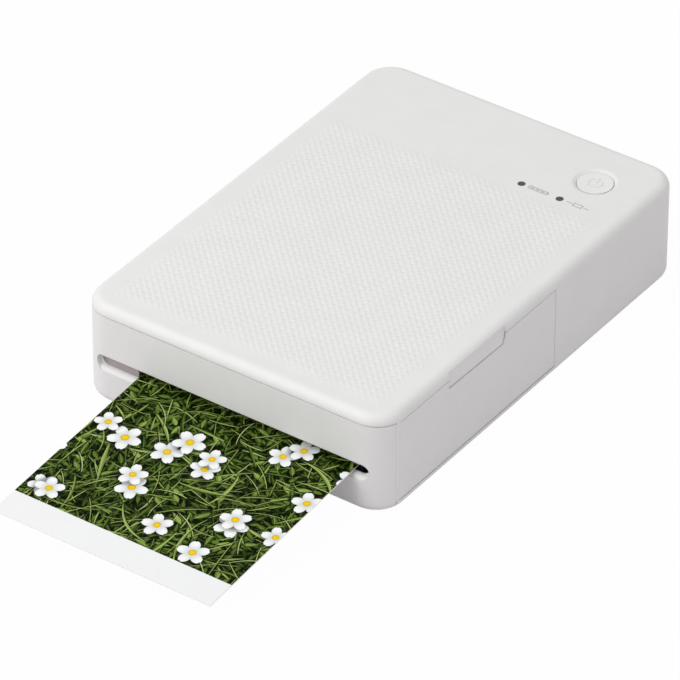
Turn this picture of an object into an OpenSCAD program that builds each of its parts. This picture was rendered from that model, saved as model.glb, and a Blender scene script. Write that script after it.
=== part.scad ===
// Compact dye-sublimation photo printer with a print in its exit slot.
// Origin: centre of the body's plan, on the surface that the feet stand on. Front is -Y, up is +Z.

/* [Case] */
// Width of the case, side to side
body_w = 102.2; // [101:0.1:110]
// Length of the case, front to back
body_l = 145.8; // [145:0.1:156]
// Height from the table to the top face
body_h = 32.9; // [32.6:0.1:36]
// Radius of the case's corners seen from above
corner_r = 9.1; // [8:0.1:11]
// Rounding along the top edge
top_round = 2.9; // [2.4:0.1:3.2]
// Rounding along the bottom edge
bottom_round = 2.9; // [2.4:0.1:3.2]
// Thickness of the case walls
wall = 1.8; // [1.6:0.1:2]
// Height of the rubber feet
foot_h = 0.6; // [0.4:0.1:0.9]
// Diameter of the rubber feet
foot_d = 5; // [4:0.5:6]
// Gap at the parting lines of the case
seam = 0.25; // [0.2:0.05:0.3]
// Height of the parting line between the top case and the front panel
parting_z = 29.6; // [29:0.1:29.8]

/* [Exit slot] */
// Width of the exit slot
slot_w = 91; // [88:0.5:92]
// Height of the slot's mouth
slot_h = 5.25; // [5:0.05:6]
// Height of the slot's upper edge above the table
slot_top = 16.45; // [16:0.05:17]
// Drop of the lower lip from the paper guide to the front face
lip_drop = 0.95; // [0.7:0.05:1.2]
// Depth of the rounded lower lip
lip_depth = 2; // [1.5:0.1:2.4]

/* [Side cover] */
// Front seam of the side cover, from the front face
cover_front = 6.2; // [6:0.1:7]
// Length of the side cover
cover_len = 75.8; // [74:0.1:78]
// Length of the finger notch
notch_len = 27; // [20:0.5:32]
// Front end of the finger notch, from the cover's front seam
notch_from = 24.4; // [18:0.1:28]
// Depth of the finger notch below the cover's top edge
notch_drop = 2.9; // [2:0.1:3]
// Diameter of the hinge pins
hinge_pin_d = 1.2; // [1:0.1:1.3]

/* [Key and lights] */
// Diameter of the power key
key_d = 10.5; // [9:0.1:12]
// Outer diameter of the dish round the key
dish_d = 13; // [12.5:0.1:15]
// Depth of the dish
dish_depth = 0.6; // [0.3:0.1:0.7]
// Place of the key across the case
key_x = 33.6; // [30:0.1:34]
// Place of the key, from the back face
key_from_back = 17.8; // [16:0.1:20]
// Travel of the key
key_travel = 0.6; // [0.4:0.1:0.8]
// Diameter of the light windows
light_d = 2.2; // [1.8:0.1:2.6]
// Distance between the two light windows
light_gap = 12.8; // [11:0.1:14]
// Distance of the light windows in front of the key
light_ahead = 12.7; // [12:0.1:14]

/* [Paper] */
// Width of a sheet
sheet_w = 72; // [70:0.5:72]
// Length of a sheet
sheet_l = 85; // [82:0.5:86]
// Thickness of a sheet
sheet_t = 0.26; // [0.2:0.02:0.3]
// How far the print sticks out of the slot, along the sheet
print_out = 65; // [40:1:66]
// Slope of the paper path down to the slot, in degrees
path_tilt = 4; // [3.5:0.1:4.2]
// Height of the paper path at the front face
path_z = 13; // [12.9:0.05:13.2]
// Offset of the paper path to the right of the middle
path_x = 4.3; // [3.8:0.1:4.5]
// Number of sheets in the stack
stack_count = 10; // [1:1:10]

/* [Print engine] */
// Radius of the three lower rollers
roller_r = 4; // [3.8:0.1:4]
// Radius of the upper pinch rollers
pinch_r = 2.5; // [2.2:0.1:2.6]
// Radius of the roller shafts
shaft_r = 1.5; // [1.2:0.1:1.8]
// Radial clearance of a shaft in its bush
shaft_clear = 0.05; // [0.02:0.01:0.08]
// Distance from the front face to the exit roller
exit_back = 8.4; // [8.2:0.1:9]
// Distance from the exit roller to the platen roller
platen_back = 28.5; // [28:0.1:29]
// Distance from the platen roller to the capstan roller
capstan_back = 49; // [48:0.5:52]
// Thickness of the chassis plates
plate_t = 1; // [0.8:0.1:1.2]
// Clearance between the sheet and what it passes
sheet_clear = 0.05; // [0.03:0.01:0.08]
// Module of the gears
gear_m = 0.6; // [0.6:0.01:0.62]
// Width of the gears
gear_w = 2.2; // [1.8:0.1:2.4]
// Travel of the print head when it lifts, in degrees
head_lift = 9; // [6:1:9]

/* [Ribbon cassette] */
// Radius of the full supply roll
supply_r = 5.5; // [4.5:0.1:5.7]
// Radius of the take-up roll
takeup_r = 3.6; // [3.2:0.1:4]
// Radius of the two cores
core_r = 2.6; // [2.4:0.1:2.8]
// How far the ribbon film reaches past each side of the sheet
film_margin = 0.5; // [0.3:0.1:0.7]
// Thickness of the film as drawn
film_t = 0.08; // [0.06:0.01:0.1]
// Wall of the cassette case
cassette_wall = 1.1; // [0.9:0.1:1.2]

/* [Power and board] */
// Length of the battery across the case
battery_w = 58; // [50:1:62]
// Room between the battery and the rear wall
battery_back = 6; // [4:0.5:8]
// Height of the battery
battery_h = 9; // [8:0.5:9.5]
// Thickness of the main board
board_t = 1.2; // [1:0.1:1.6]
// Width of the power socket's mouth
socket_w = 9; // [8.8:0.1:9.2]
// Height of the power socket's mouth
socket_h = 3.2; // [3:0.1:3.4]

/* [Hidden] */
$fn = 64;

// ---- places shared by several pieces ----
side_x = body_w / 2;
front_y = -body_l / 2;
back_y = body_l / 2;
in_side = side_x - wall;
in_front = front_y + wall;
in_back = back_y - wall;
floor_z = foot_h + wall;
roof_z = body_h - wall;
fit = 0.1;              // assembly gap between neighbouring pieces
gap = 0.3;              // running gap between pieces that pass each other
overlap = 0.2;          // how far the lumps of one piece run into each other
past = 1;               // how far a cut runs past the surface that it opens
hook_in = 22;           // hooks of the bottom case, in from the sides
hook_x = side_x - hook_in;
hook_w = 8;
hook_z0 = floor_z + 1;
hook_z1 = floor_z + 2.2;

// side cover and its hinge
cover_y0 = front_y + cover_front;
cover_y1 = cover_y0 + cover_len;
cover_z0 = foot_h + bottom_round + 0.4;
hinge_x = side_x - wall;
hinge_up = 1.6;         // pin above the side cover's lower edge
sweep_clear = 0.15;     // round the cover's lower edge as it swings
hinge_z = cover_z0 + hinge_up;
hinge_r = hinge_pin_d / 2;
hinge_sweep = norm([side_x - hinge_x, hinge_z - cover_z0]) + sweep_clear;
ear_r = hinge_r + 0.45;
ear_len = 2.2;
bead_r = hinge_r + 0.5;
rib_depth = 0.9;
rib_w = 1;
catch_depth = 0.7;
notch_lean = 0.65;      // how far the scoop above the notch stands back from the side
notch_foot = 0.15;      // how far the tab's foot stands back
notch_rise = 0.45;      // how much higher the notch's floor is at its front end
notch_slant = 1.5;      // how far its rear end slants
notch_y0 = cover_y0 + notch_from;
notch_y1 = notch_y0 + notch_len;

// paper path
path_slope = tan(path_tilt);
path_nx = 1 / cos(path_tilt);
exit_y = front_y + exit_back;
platen_y = exit_y + platen_back;
capstan_y = platen_y + capstan_back;
sheet_gap = sheet_t / 2 + sheet_clear;
function path_at(y) = path_z + (y - front_y) * path_slope;
function below_path(y, r) = path_at(y) - (r + sheet_gap) * path_nx;
function above_path(y, r) = path_at(y) + (r + sheet_gap) * path_nx;
function roller_z(y) = below_path(y, roller_r);

// across the case: cassette, chassis plates, belt layer, gear layer, motors
film_w = sheet_w + 2 * film_margin;
film_room = 0.7;        // between the film and the cassette's end walls
cassette_x0 = path_x - film_w / 2 - film_room - cassette_wall;
cassette_x1 = path_x + film_w / 2 + film_room + cassette_wall;
plate_l1 = cassette_x0 - 0.8;
plate_l0 = plate_l1 - plate_t;
plate_r0 = cassette_x1 + 2.4;
plate_r1 = plate_r0 + plate_t;
belt_x1 = plate_l0 - 0.8;
belt_w = 2.2;
belt_x0 = belt_x1 - belt_w;
flange_t = 0.4;
gear_x1 = belt_x0 - flange_t - gap;
gear_x0 = gear_x1 - gear_w;
motor_x1 = gear_x0 - gap;
motor_x0 = -in_side + fit;
roller_x0 = path_x - sheet_w / 2 - 0.4;
roller_x1 = path_x + sheet_w / 2 + 0.4;
shaft_x1 = plate_r1 + 0.8;
plate_y0 = front_y + wall + 2.5;
plate_y1 = capstan_y + 9;
plate_top = roof_z - 1.1;
bush_r = shaft_r + 0.9;
pinch_shaft_r = 1;
motor_shaft_r = 0.8;

// belt drive
pulley_r = 4.6;
belt_t = 0.8;
belt_gap = 0.1;

// gear train
capstan_teeth = 30;
takeup_teeth = 18;
pinion_teeth = 12;
function pitch_r(teeth) = teeth * gear_m / 2;
mesh_slack = 0.05;
feed_dist = pitch_r(capstan_teeth) + pitch_r(pinion_teeth) + mesh_slack;
feed_y = capstan_y + feed_dist;
feed_z = below_path(capstan_y, roller_r);
feed_motor_r = 10;
ribbon_motor_r = 8;
ribbon_angle = 200;
ribbon_dist = pitch_r(takeup_teeth) + pitch_r(pinion_teeth) + mesh_slack;

// ribbon cassette
chamber_gap = 0.8;
chamber_open = 90;      // angle of the gap in each chamber's wall, where the film passes
supply_open_from = -80;
takeup_open_from = 170;
rail_lift = 0.9;        // cassette's side rails above the paper path
rail_h = 1.9;
grip_l = 2.2;           // grip at the cassette's open end
supply_out = supply_r + chamber_gap + cassette_wall;
takeup_out = takeup_r + chamber_gap + cassette_wall;
chamber_lift = 0.9;
supply_ahead = 18;      // supply roll in front of the platen
takeup_behind = 33;
supply_y = platen_y - supply_ahead;
takeup_y = platen_y + takeup_behind;
supply_z = path_at(supply_y) + chamber_lift + supply_out;
takeup_z = path_at(takeup_y) + chamber_lift + takeup_out;
film_low = path_at(platen_y) + sheet_gap * path_nx;
journal_r = 1.5;
ribbon_y = takeup_y + ribbon_dist * cos(ribbon_angle);
ribbon_z = takeup_z + ribbon_dist * sin(ribbon_angle);

// print head
head_z = film_low + film_t + sheet_clear;
glaze_r = 0.5;
strip_l = 6;
strip_t = 1;
sink_z = head_z + glaze_r + strip_t;
sink_h = 6.4;
arm_t = 1;
pivot_y = platen_y + 18.5;
pivot_z = sink_z + sink_h + 0.2;
pivot_r = 1.2;
cam_y = pivot_y - 8.5;
cam_z = pivot_z - 3.3;
cam_r = 1.6;
cam_throw = 1;
arm_low = cam_z + cam_r + fit;
arm_x0 = cassette_x0 + cassette_wall + film_room;
arm_x1 = cassette_x1 - cassette_wall - film_room;
ear_x0 = cassette_x1 + 0.7;
ear_x1 = ear_x0 + plate_t;
sink_half = 4.5;        // half of the heat sink's depth

// paper compartment
stack_y1 = in_back - 7.1;
stack_y0 = stack_y1 - sheet_l;
stack_z0 = floor_z + 2.8;
stack_z1 = stack_z0 + stack_count * sheet_t;
tray_x0 = path_x - sheet_w / 2 - 0.4;
tray_x1 = path_x + sheet_w / 2 + 0.4;
tray_y0 = stack_y0 - 0.5;
tray_y1 = stack_y1 + 0.5;
tray_wall = 1.2;
stack_max_z = stack_z0 + 10 * sheet_t;
shelf_z = stack_max_z + 1.6;
shelf_t = 1;
shelf_y0 = capstan_y + 13;
pickup_r = 3.4;
pickup_w = 10;
pickup_apart = 18;
pickup_from = 8;
pickup_y = stack_y0 + pickup_from;
pickup_z = stack_z1 + pickup_r + fit;
lid_hinge_y = tray_y0 + seam + 1.5;
lid_hinge_z = foot_h + 1.3;
lid_sweep = norm([lid_hinge_y - tray_y0 - seam, lid_hinge_z - foot_h]) + seam;
boss_l = 2.6;           // bosses that hold the paper cover's pin
pin_x0 = tray_x0 - 2.2;
pin_x1 = tray_x1 + 2.2;
latch_w = 14;
latch_t = 0.9;
latch_y1 = tray_y1 + 0.8;
latch_travel = 2;
latch_tongue = 12;      // length of the latch's plate
grip_y0 = latch_y1 - 9;
grip_y1 = latch_y1 - 3.4;
grip_w = 10;
grip_step = 1;
arm_reach = 2.6;        // length of the latch's moulded spring arms
rail_w = 1.2;
lift_t = 0.6;
lift_from = 3;          // front edge of the lift plate, behind the stack's
lift_w = sheet_w - 6;
lift_l = 43;
lift_y = stack_y0 + 14;
spring_apart = 44;
lift_x = [path_x - spring_apart / 2, path_x + spring_apart / 2];
lift_hole_w = 24;
lift_hole_l = 14;
lift_hole_from = 24;
lift_hole_y = stack_y0 + lift_hole_from;
spring_wire = 0.35;
spring_r = 2.2;
pocket_r = spring_r + 0.6;

// board, battery, key and lights
battery_z0 = shelf_z + shelf_t;
battery_y0 = shelf_y0 + 1;
battery_y1 = in_back - battery_back;
stop_from = 5;          // front end of the battery's side stops, behind the shelf's front edge
stop_l = 25;
stop_w = 1.1;
board_z0 = battery_z0 + battery_h + 2;
board_z1 = board_z0 + board_t;
board_x0 = path_x - battery_w / 2 - 5.3;
board_x1 = path_x + battery_w / 2 + 9.1;
board_y0 = shelf_y0 + 1;
board_y1 = in_back - 1.4;
key_y = back_y - key_from_back;
key_face = body_h - dish_depth + 0.2;
key_flange_t = 0.7;
key_bowl_r = 60;        // radius of the key's hollow face
key_hollow = 0.25;
key_seat = roof_z - 0.5;
key_gap = 0.15;
switch_h = 3.6;
stem_z0 = board_z1 + switch_h + key_travel + fit;
light_y = key_y - light_ahead;
light_x1 = key_x - 3.5;
light_x0 = light_x1 - light_gap;
light_fit = 0.05;
pipe_z0 = board_z1 + 1;
socket_x = 28;
socket_z = board_z1 + socket_h / 2 + 0.1;
post_r = 2.4;
post_x = side_x - 5.7;
post_places = [[-post_x, front_y + 17.9], [post_x, shelf_y0], [-post_x, back_y - 17], [post_x, back_y - 17]];
screw_r = 0.9;
screw_head_r = 1.9;
screw_head_h = 1;
screw_l = 8;
screw_slot = 0.5;
foot_in = 9.5;
foot_x = side_x - bottom_round - foot_d / 2 - 0.7;
foot_y = body_l / 2 - foot_in;
foot_seat = 0.6;

// ---- shared shapes ----
module along_x(x0, x1) {
    translate([x0, 0, 0]) rotate([90, 0, 90]) linear_extrude(x1 - x0) children();
}

module rod_x(x0, x1, y, z, r) {
    along_x(x0, x1) translate([y, z]) circle(r);
}

module rod_y(y0, y1, x, z, r) {
    translate([x, y1, z]) rotate([90, 0, 0]) cylinder(h = y1 - y0, r = r);
}

module block(x0, x1, y0, y1, z0, z1) {
    translate([x0, y0, z0]) cube([x1 - x0, y1 - y0, z1 - z0]);
}

// outline of a rounded edge: r deep, h high, round at its two outer corners
module edge_outline(r, h, top, low) {
    difference() {
        square([r, h]);
        translate([r - top, h - top]) difference() {
            square(top + 1);
            circle(top);
        }
        translate([r - low, low]) mirror([0, 1]) difference() {
            square(low + 1);
            circle(low);
        }
    }
}

// box with round plan corners and rounded top and bottom edges
module rounded_box(w, l, z0, z1, r, top, low) {
    h = z1 - z0;
    translate([0, 0, z0]) {
        translate([r - w / 2, r - l / 2, 0]) cube([w - 2 * r, l - 2 * r, h]);
        for (s = [0, 1]) mirror([s, 0, 0]) {
            translate([w / 2 - r, l / 2 - r, 0]) rotate([90, 0, 0])
                linear_extrude(l - 2 * r) edge_outline(r, h, top, low);
        }
        for (s = [0, 1]) mirror([0, s, 0]) {
            translate([r - w / 2, l / 2 - r, 0]) rotate([90, 0, 90])
                linear_extrude(w - 2 * r) edge_outline(r, h, top, low);
        }
        for (a = [0 : 3]) {
            sx = (a == 0 || a == 3) ? 1 : -1;
            sy = (a < 2) ? 1 : -1;
            translate([sx * (w / 2 - r), sy * (l / 2 - r), 0]) rotate([0, 0, 90 * a])
                rotate_extrude(angle = 90) edge_outline(r, h, top, low);
        }
    }
}

module case_outside() {
    rounded_box(body_w, body_l, foot_h, body_h, corner_r, top_round, bottom_round);
}

module case_shell() {
    difference() {
        case_outside();
        rounded_box(body_w - 2 * wall, body_l - 2 * wall, floor_z, roof_z,
            corner_r - wall, top_round - wall, bottom_round - wall);
    }
}

// plan of the bottom case, which ends where the bottom rounding starts
module floor_plan(grow) {
    inset = bottom_round + fit;
    w = body_w - 2 * inset + 2 * grow;
    l = body_l - 2 * inset + 2 * grow;
    r = corner_r - inset + grow;
    square([w - 2 * r, l], center = true);
    square([w, l - 2 * r], center = true);
    for (sx = [-1, 1], sy = [-1, 1]) translate([sx * (w / 2 - r), sy * (l / 2 - r)]) circle(r);
}

// involute flank of a gear tooth at the roll angle t, in degrees
function flank(rb, t) = rb * [cos(t) + t * PI / 180 * sin(t), sin(t) - t * PI / 180 * cos(t)];
function turn(p, a) = [p[0] * cos(a) - p[1] * sin(a), p[0] * sin(a) + p[1] * cos(a)];
function roll_at(rb, r) = sqrt(pow(r / rb, 2) - 1) * 180 / PI;

// spur gear outline; one tooth is centred on the direction given by "aim"
module gear_outline(teeth, aim) {
    r = pitch_r(teeth);
    rb = r * cos(20);
    ra = r + 0.85 * gear_m;
    rr = r - 1.2 * gear_m;
    t_pitch = roll_at(rb, r);
    t_tip = roll_at(rb, ra);
    inv = t_pitch - atan(t_pitch * PI / 180);
    half = 90 / teeth - 0.06 / r * 180 / PI + inv;
    steps = 4;
    flank_low = [for (i = [0 : steps]) turn(flank(rb, t_tip * i / steps), -half)];
    flank_high = [for (i = [steps : -1 : 0]) let (p = flank_low[i]) [p[0], -p[1]]];
    root = rr < rb ? [[rr * cos(half), -rr * sin(half)]] : [];
    root_end = rr < rb ? [[rr * cos(half), rr * sin(half)]] : [];
    tooth = concat(root, flank_low, flank_high, root_end);
    polygon([for (i = [0 : teeth - 1]) each [for (p = tooth) turn(p, aim + i * 360 / teeth)]]);
}

module gear_x(teeth, y, z, aim) {
    along_x(gear_x0, gear_x1) translate([y, z]) gear_outline(teeth, aim);
}

// helix tube round the Z axis, from z = 0 up
module coil(r, wire, turns, height) {
    sides = 6;
    rings = turns * 12;
    ring = [for (i = [0 : rings]) let (a = 360 * i / 12, z = wire + (height - 2 * wire) * i / rings)
        each [for (s = [0 : sides - 1]) let (b = 360 * s / sides, q = r + wire * cos(b))
            [q * cos(a), q * sin(a), z + wire * sin(b)]]];
    walls = [for (i = [0 : rings - 1], s = [0 : sides - 1]) let (n = (s + 1) % sides, k = i * sides)
        each [[k + s, k + n, k + sides + n], [k + s, k + sides + n, k + sides + s]]];
    low = [for (s = [1 : sides - 2]) [0, s + 1, s]];
    top = [for (s = [1 : sides - 2]) [rings * sides, rings * sides + s, rings * sides + s + 1]];
    polyhedron(ring, concat(walls, low, top));
}

// ---- case ----
module front_zone(grow) {
    block(-body_w, body_w, front_y - 5, cover_y0 + grow, -1, parting_z + grow);
}

module cover_zone(grow) {
    block(in_side - 1.5, side_x + 1, cover_y0 + seam - grow, cover_y1 + grow,
        cover_z0 - grow, parting_z + grow);
}

// outline of the finger notch seen from the side, cut through everything between two distances
module notch_outline(grow, x0, x1, top) {
    low = parting_z - notch_drop - grow;
    y0 = notch_y0 - grow;
    y1 = notch_y1 + grow;
    translate([x0, 0, 0]) rotate([90, 0, 90]) linear_extrude(x1 - x0)
        polygon([[y0, top], [y0, low + notch_rise], [y1 - notch_slant, low],
            [y1 - notch_slant / 3, low + notch_drop / 2], [y1, parting_z], [y1, top]]);
}

// tab of the top case that fills the finger notch, its face sloping out to its foot
module notch_tab() {
    low = parting_z - notch_drop - past;
    foot_x = side_x - notch_foot;
    back_x = side_x - notch_lean;
    intersection() {
        notch_outline(0, in_side, side_x, parting_z + 1);
        translate([0, notch_y1 + past, 0]) rotate([90, 0, 0]) linear_extrude(notch_len + 2 * past)
            polygon([[in_side, parting_z + 1], [in_side, low], [foot_x, low],
                [foot_x, parting_z - notch_drop], [back_x, parting_z], [back_x, parting_z + 1]]);
    }
}

// room for the side cover's lower edge as it swings
module cover_sweep() {
    rod_y(cover_y0, cover_y1 + seam, hinge_x, hinge_z, hinge_sweep);
}

module hinge_ear(y0, y1) {
    rod_y(y0, y1, hinge_x, hinge_z, ear_r);
}

module socket_mouth(grow, y0, y1) {
    h = socket_h + 2 * grow;
    w = socket_w + 2 * grow - h;
    block(socket_x - w / 2, socket_x + w / 2, y0, y1, socket_z - h / 2, socket_z + h / 2);
    for (s = [-1, 1]) rod_y(y0, y1, socket_x + s * w / 2, socket_z, h / 2);
}

module top_case() {
    color([0.93, 0.93, 0.92]) difference() {
        union() {
            difference() {
                case_shell();
                front_zone(seam);
                cover_zone(seam);
                translate([0, 0, foot_h - 1]) linear_extrude(wall + 2) floor_plan(fit);
                cover_sweep();
                // finger scoop above the notch
                notch_outline(0, side_x - notch_lean, side_x + past, body_h);
            }
            notch_tab();
            hinge_ear(cover_y1 - ear_len, cover_y1 + ear_len);
            for (p = post_places) translate([p[0], p[1], floor_z])
                cylinder(h = roof_z - floor_z + 0.5, r = post_r);
            translate([key_x, key_y, key_seat])
                cylinder(h = roof_z - key_seat + overlap, r = dish_d / 2 + 1.5);
        }
        rod_y(cover_y0, cover_y1 + ear_len - 0.5, hinge_x, hinge_z, hinge_r + shaft_clear);
        for (p = post_places) translate([p[0], p[1], floor_z - past])
            cylinder(h = screw_l + 4, r = screw_r + shaft_clear);
        translate([key_x, key_y, body_h - dish_depth]) cylinder(h = dish_depth + 0.001,
            r1 = key_d / 2 + key_gap, r2 = dish_d / 2);
        translate([key_x, key_y, key_seat - past]) cylinder(h = wall + 3, r = key_d / 2 + key_gap);
        for (x = [light_x0, light_x1]) translate([x, light_y, roof_z - past])
            cylinder(h = wall + 2 * past, r = light_d / 2 + light_fit);
        socket_mouth(gap, in_back - past, back_y + past);
    }
}

module slot_outline(w, z0, z1) {
    r = (z1 - z0) / 2;
    translate([-w / 2 + r, z0]) square([w - 2 * r, 2 * r]);
    for (s = [-1, 1]) translate([s * (w / 2 - r), z0 + r]) circle(r);
}

module slot_cut(w, z0, z1, y0, y1) {
    translate([0, y1, 0]) rotate([90, 0, 0]) linear_extrude(y1 - y0) slot_outline(w, z0, z1);
}

module front_panel() {
    mouth_low = slot_top - slot_h;
    guide_z = mouth_low + lip_drop;
    lip_x = slot_w / 2 - 6;
    guide_y = front_y + lip_depth + 0.4;
    blind_x = path_x - sheet_w / 2 - 1;
    blind_y = front_y + lip_depth + 0.5;
    blind_t = 0.7;
    guide_t = 2.4;
    color([0.86, 0.86, 0.86]) difference() {
        union() {
            intersection() {
                case_shell();
                front_zone(0);
            }
            // thick wall behind the slot, which carries the paper guide and is thicker at its blind end
            block(-slot_w / 2 - 1, slot_w / 2 + 1, in_front - overlap, guide_y,
                guide_z - guide_t, slot_top + 1.2);
            block(-slot_w / 2 - 1, blind_x, in_front - overlap, blind_y + blind_t,
                guide_z - overlap, slot_top + 1.2);
            // alignment lip behind the parting line
            block(-lip_x, lip_x, in_front - overlap, in_front + 0.8, parting_z - 2, parting_z - fit);
            block(-lip_x, lip_x, in_front + fit, in_front + 0.8, parting_z - 1, roof_z - 0.9);
            hinge_ear(cover_y0 - 0.6, cover_y0 + ear_len);
        }
        translate([0, 0, foot_h - past]) linear_extrude(wall + 2 * past) floor_plan(fit);
        // the slot is open as far as the sheet reaches, and blind beside it
        difference() {
            slot_cut(slot_w - 1.8, guide_z, slot_top, front_y - past, in_front + 2);
            block(-slot_w, blind_x, blind_y, in_front + 3, 0, body_h);
        }
        // rounded lower lip, stepped down to the mouth
        difference() {
            slot_cut(slot_w, mouth_low, slot_top, front_y - past, front_y + lip_depth);
            rod_x(-slot_w, slot_w, front_y + lip_depth, guide_z - lip_depth, lip_depth);
        }
        rod_y(cover_y0 - overlap, cover_y0 + ear_len + past, hinge_x, hinge_z, hinge_r + shaft_clear);
        for (x = [-1, 1]) hook_pocket(x);
    }
}

// pocket in the front wall for a hook of the bottom case
module hook_pocket(side) {
    x = side * hook_x;
    half = hook_w / 2 + fit;
    block(x - half, x + half, in_front - 0.8, in_front + 0.01, hook_z0 - fit, hook_z1 + fit);
}

module bottom_case() {
    color([0.8, 0.8, 0.8]) difference() {
        union() {
            translate([0, 0, foot_h]) linear_extrude(wall) floor_plan(0);
            // hooks behind the front panel
            for (s = [-1, 1]) {
                x0 = s * hook_x - hook_w / 2;
                block(x0, x0 + hook_w, in_front + 2, in_front + 3.2, floor_z - overlap, hook_z1);
                block(x0, x0 + hook_w, in_front - 0.7, in_front + 3.2, hook_z0, hook_z1);
            }
            // bosses for the paper cover's pin
            rod_x(tray_x0 - boss_l, tray_x0, lid_hinge_y, lid_hinge_z, bead_r);
            rod_x(tray_x1, tray_x1 + boss_l, lid_hinge_y, lid_hinge_z, bead_r);
        }
        block(tray_x0, tray_x1, tray_y0, tray_y1, foot_h - past, floor_z + past);
        rod_x(tray_x0, tray_x1, lid_hinge_y, lid_hinge_z, lid_sweep);
        rod_x(pin_x0 - overlap, pin_x1 + overlap, lid_hinge_y, lid_hinge_z, hinge_r + shaft_clear);
        block(path_x - latch_w / 2 - gap, path_x + latch_w / 2 + gap, tray_y1 - past, latch_y1 + gap,
            foot_h - past, floor_z + past);
        for (p = post_places) translate([p[0], p[1], 0]) {
            cylinder(h = floor_z + past, r = screw_r + fit);
            cylinder(h = foot_h + screw_head_h, r = screw_head_r + fit);
        }
        for (sx = [-1, 1], sy = [-1, 1]) translate([sx * foot_x, sy * foot_y, foot_h - 0.5])
            cylinder(h = foot_seat + 0.5, r = foot_d / 2);
        cover_sweep();
    }
}

module feet() {
    color([0.25, 0.25, 0.26]) for (sx = [-1, 1], sy = [-1, 1]) translate([sx * foot_x, sy * foot_y, 0])
        cylinder(h = foot_h + foot_seat, r = foot_d / 2 - 0.02);
}

module case_screws() {
    color([0.5, 0.5, 0.52]) for (p = post_places) translate([p[0], p[1], foot_h]) {
        cylinder(h = screw_l, r = screw_r);
        difference() {
            cylinder(h = screw_head_h, r = screw_head_r);
            for (a = [0, 90]) rotate([0, 0, a])
                block(-1.2, 1.2, -screw_slot / 2, screw_slot / 2, -past, screw_head_h / 2);
        }
    }
}

module side_cover() {
    notch_low = parting_z - notch_drop;
    bead_y0 = cover_y0 + ear_len + gap;
    bead_y1 = cover_y1 - ear_len - gap;
    color([0.83, 0.83, 0.84]) difference() {
        union() {
            intersection() {
                case_shell();
                cover_zone(0);
            }
            rod_y(bead_y0, bead_y1, hinge_x, hinge_z, bead_r);
            // stiffening ribs and the catch behind the notch
            for (y = [cover_y0 + 8, notch_y0 - 3, notch_y1 + 3, cover_y1 - 4])
                block(in_side - rib_depth, in_side + overlap, y - rib_w / 2, y + rib_w / 2,
                    hinge_z + 2, parting_z - 4);
            block(in_side - catch_depth, in_side + overlap, notch_y0 + 4, notch_y1 - 4,
                notch_low - 2, notch_low - 1);
        }
        notch_outline(seam, in_side - past, side_x + past, parting_z + past);
        rod_y(cover_y0 - past, bead_y0, hinge_x, hinge_z, ear_r + 0.15);
        rod_y(bead_y1, cover_y1 + past, hinge_x, hinge_z, ear_r + 0.15);
        rod_y(cover_y0 - past, cover_y1 + past, hinge_x, hinge_z, hinge_r + 0.01);
    }
}

module side_cover_pin() {
    color([0.7, 0.7, 0.72]) rod_y(cover_y0, cover_y1 + ear_len - 0.7, hinge_x, hinge_z, hinge_r);
}

// ---- paper compartment ----
module paper_cover() {
    color([0.8, 0.8, 0.8]) difference() {
        union() {
            block(tray_x0 + seam, tray_x1 - seam, tray_y0 + seam, tray_y1 - seam, foot_h, floor_z);
            difference() {
                rod_x(tray_x0 + seam, tray_x1 - seam, lid_hinge_y, lid_hinge_z, bead_r);
                block(tray_x0, tray_x1, tray_y0 - bead_r, lid_hinge_y + 2 * bead_r, foot_h - bead_r, foot_h);
            }
            // rails beside the latch
            for (s = [-1, 1]) {
                x = path_x + s * (latch_w + rail_w + 2 * overlap) / 2;
                block(x - rail_w / 2, x + rail_w / 2, latch_y1 - latch_tongue - past, grip_y1 + 0.4,
                    floor_z - overlap, floor_z + latch_t + overlap);
            }
            // pockets round the two lift springs
            for (x = lift_x) translate([x, lift_y, floor_z - overlap]) difference() {
                cylinder(h = 1, r = pocket_r + 0.6);
                cylinder(h = 2, r = pocket_r);
            }
        }
        rod_x(tray_x0, tray_x1, lid_hinge_y, lid_hinge_z, hinge_r + 0.01);
        block(path_x - grip_w / 2 - 0.4, path_x + grip_w / 2 + 0.4,
            grip_y0 - 0.4 - latch_travel, grip_y1 + 0.4, foot_h - past, floor_z + past);
    }
}

module paper_cover_pin() {
    color([0.7, 0.7, 0.72]) rod_x(pin_x0, pin_x1, lid_hinge_y, lid_hinge_z, hinge_r);
}

module cover_latch() {
    y0 = latch_y1 - latch_tongue + latch_travel;
    z0 = floor_z + fit;
    z1 = floor_z + latch_t;
    color([0.6, 0.6, 0.62]) {
        block(path_x - latch_w / 2, path_x + latch_w / 2, y0, latch_y1, z0, z1);
        difference() {
            block(path_x - grip_w / 2, path_x + grip_w / 2, grip_y0, grip_y1, foot_h + 0.3, floor_z + 0.5);
            for (i = [0 : 4]) translate([0, grip_y0 + 0.6 + i * grip_step, 0])
                block(path_x - grip_w / 2 + 1, path_x + grip_w / 2 - 1, 0, 0.4, foot_h - past, foot_h + 0.6);
        }
        // two moulded spring arms
        for (s = [-1, 1]) block(path_x + 3 * s - 0.3, path_x + 3 * s + 0.3, y0 - arm_reach, y0 + fit, z0, z1);
    }
}

module lift_plate() {
    color([0.6, 0.6, 0.62]) difference() {
        block(path_x - lift_w / 2, path_x + lift_w / 2, stack_y0 + lift_from, stack_y0 + lift_from + lift_l,
            stack_z0 - lift_t - fit, stack_z0 - fit);
        block(path_x - lift_hole_w / 2, path_x + lift_hole_w / 2, lift_hole_y, lift_hole_y + lift_hole_l,
            stack_z0 - lift_t - past, stack_z0 + past);
    }
}

module lift_springs() {
    color([0.65, 0.65, 0.68]) for (x = lift_x) translate([x, lift_y, floor_z + 0.02])
        coil(spring_r, spring_wire / 2, 3, stack_z0 - lift_t - fit - floor_z - 0.04);
}

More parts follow.
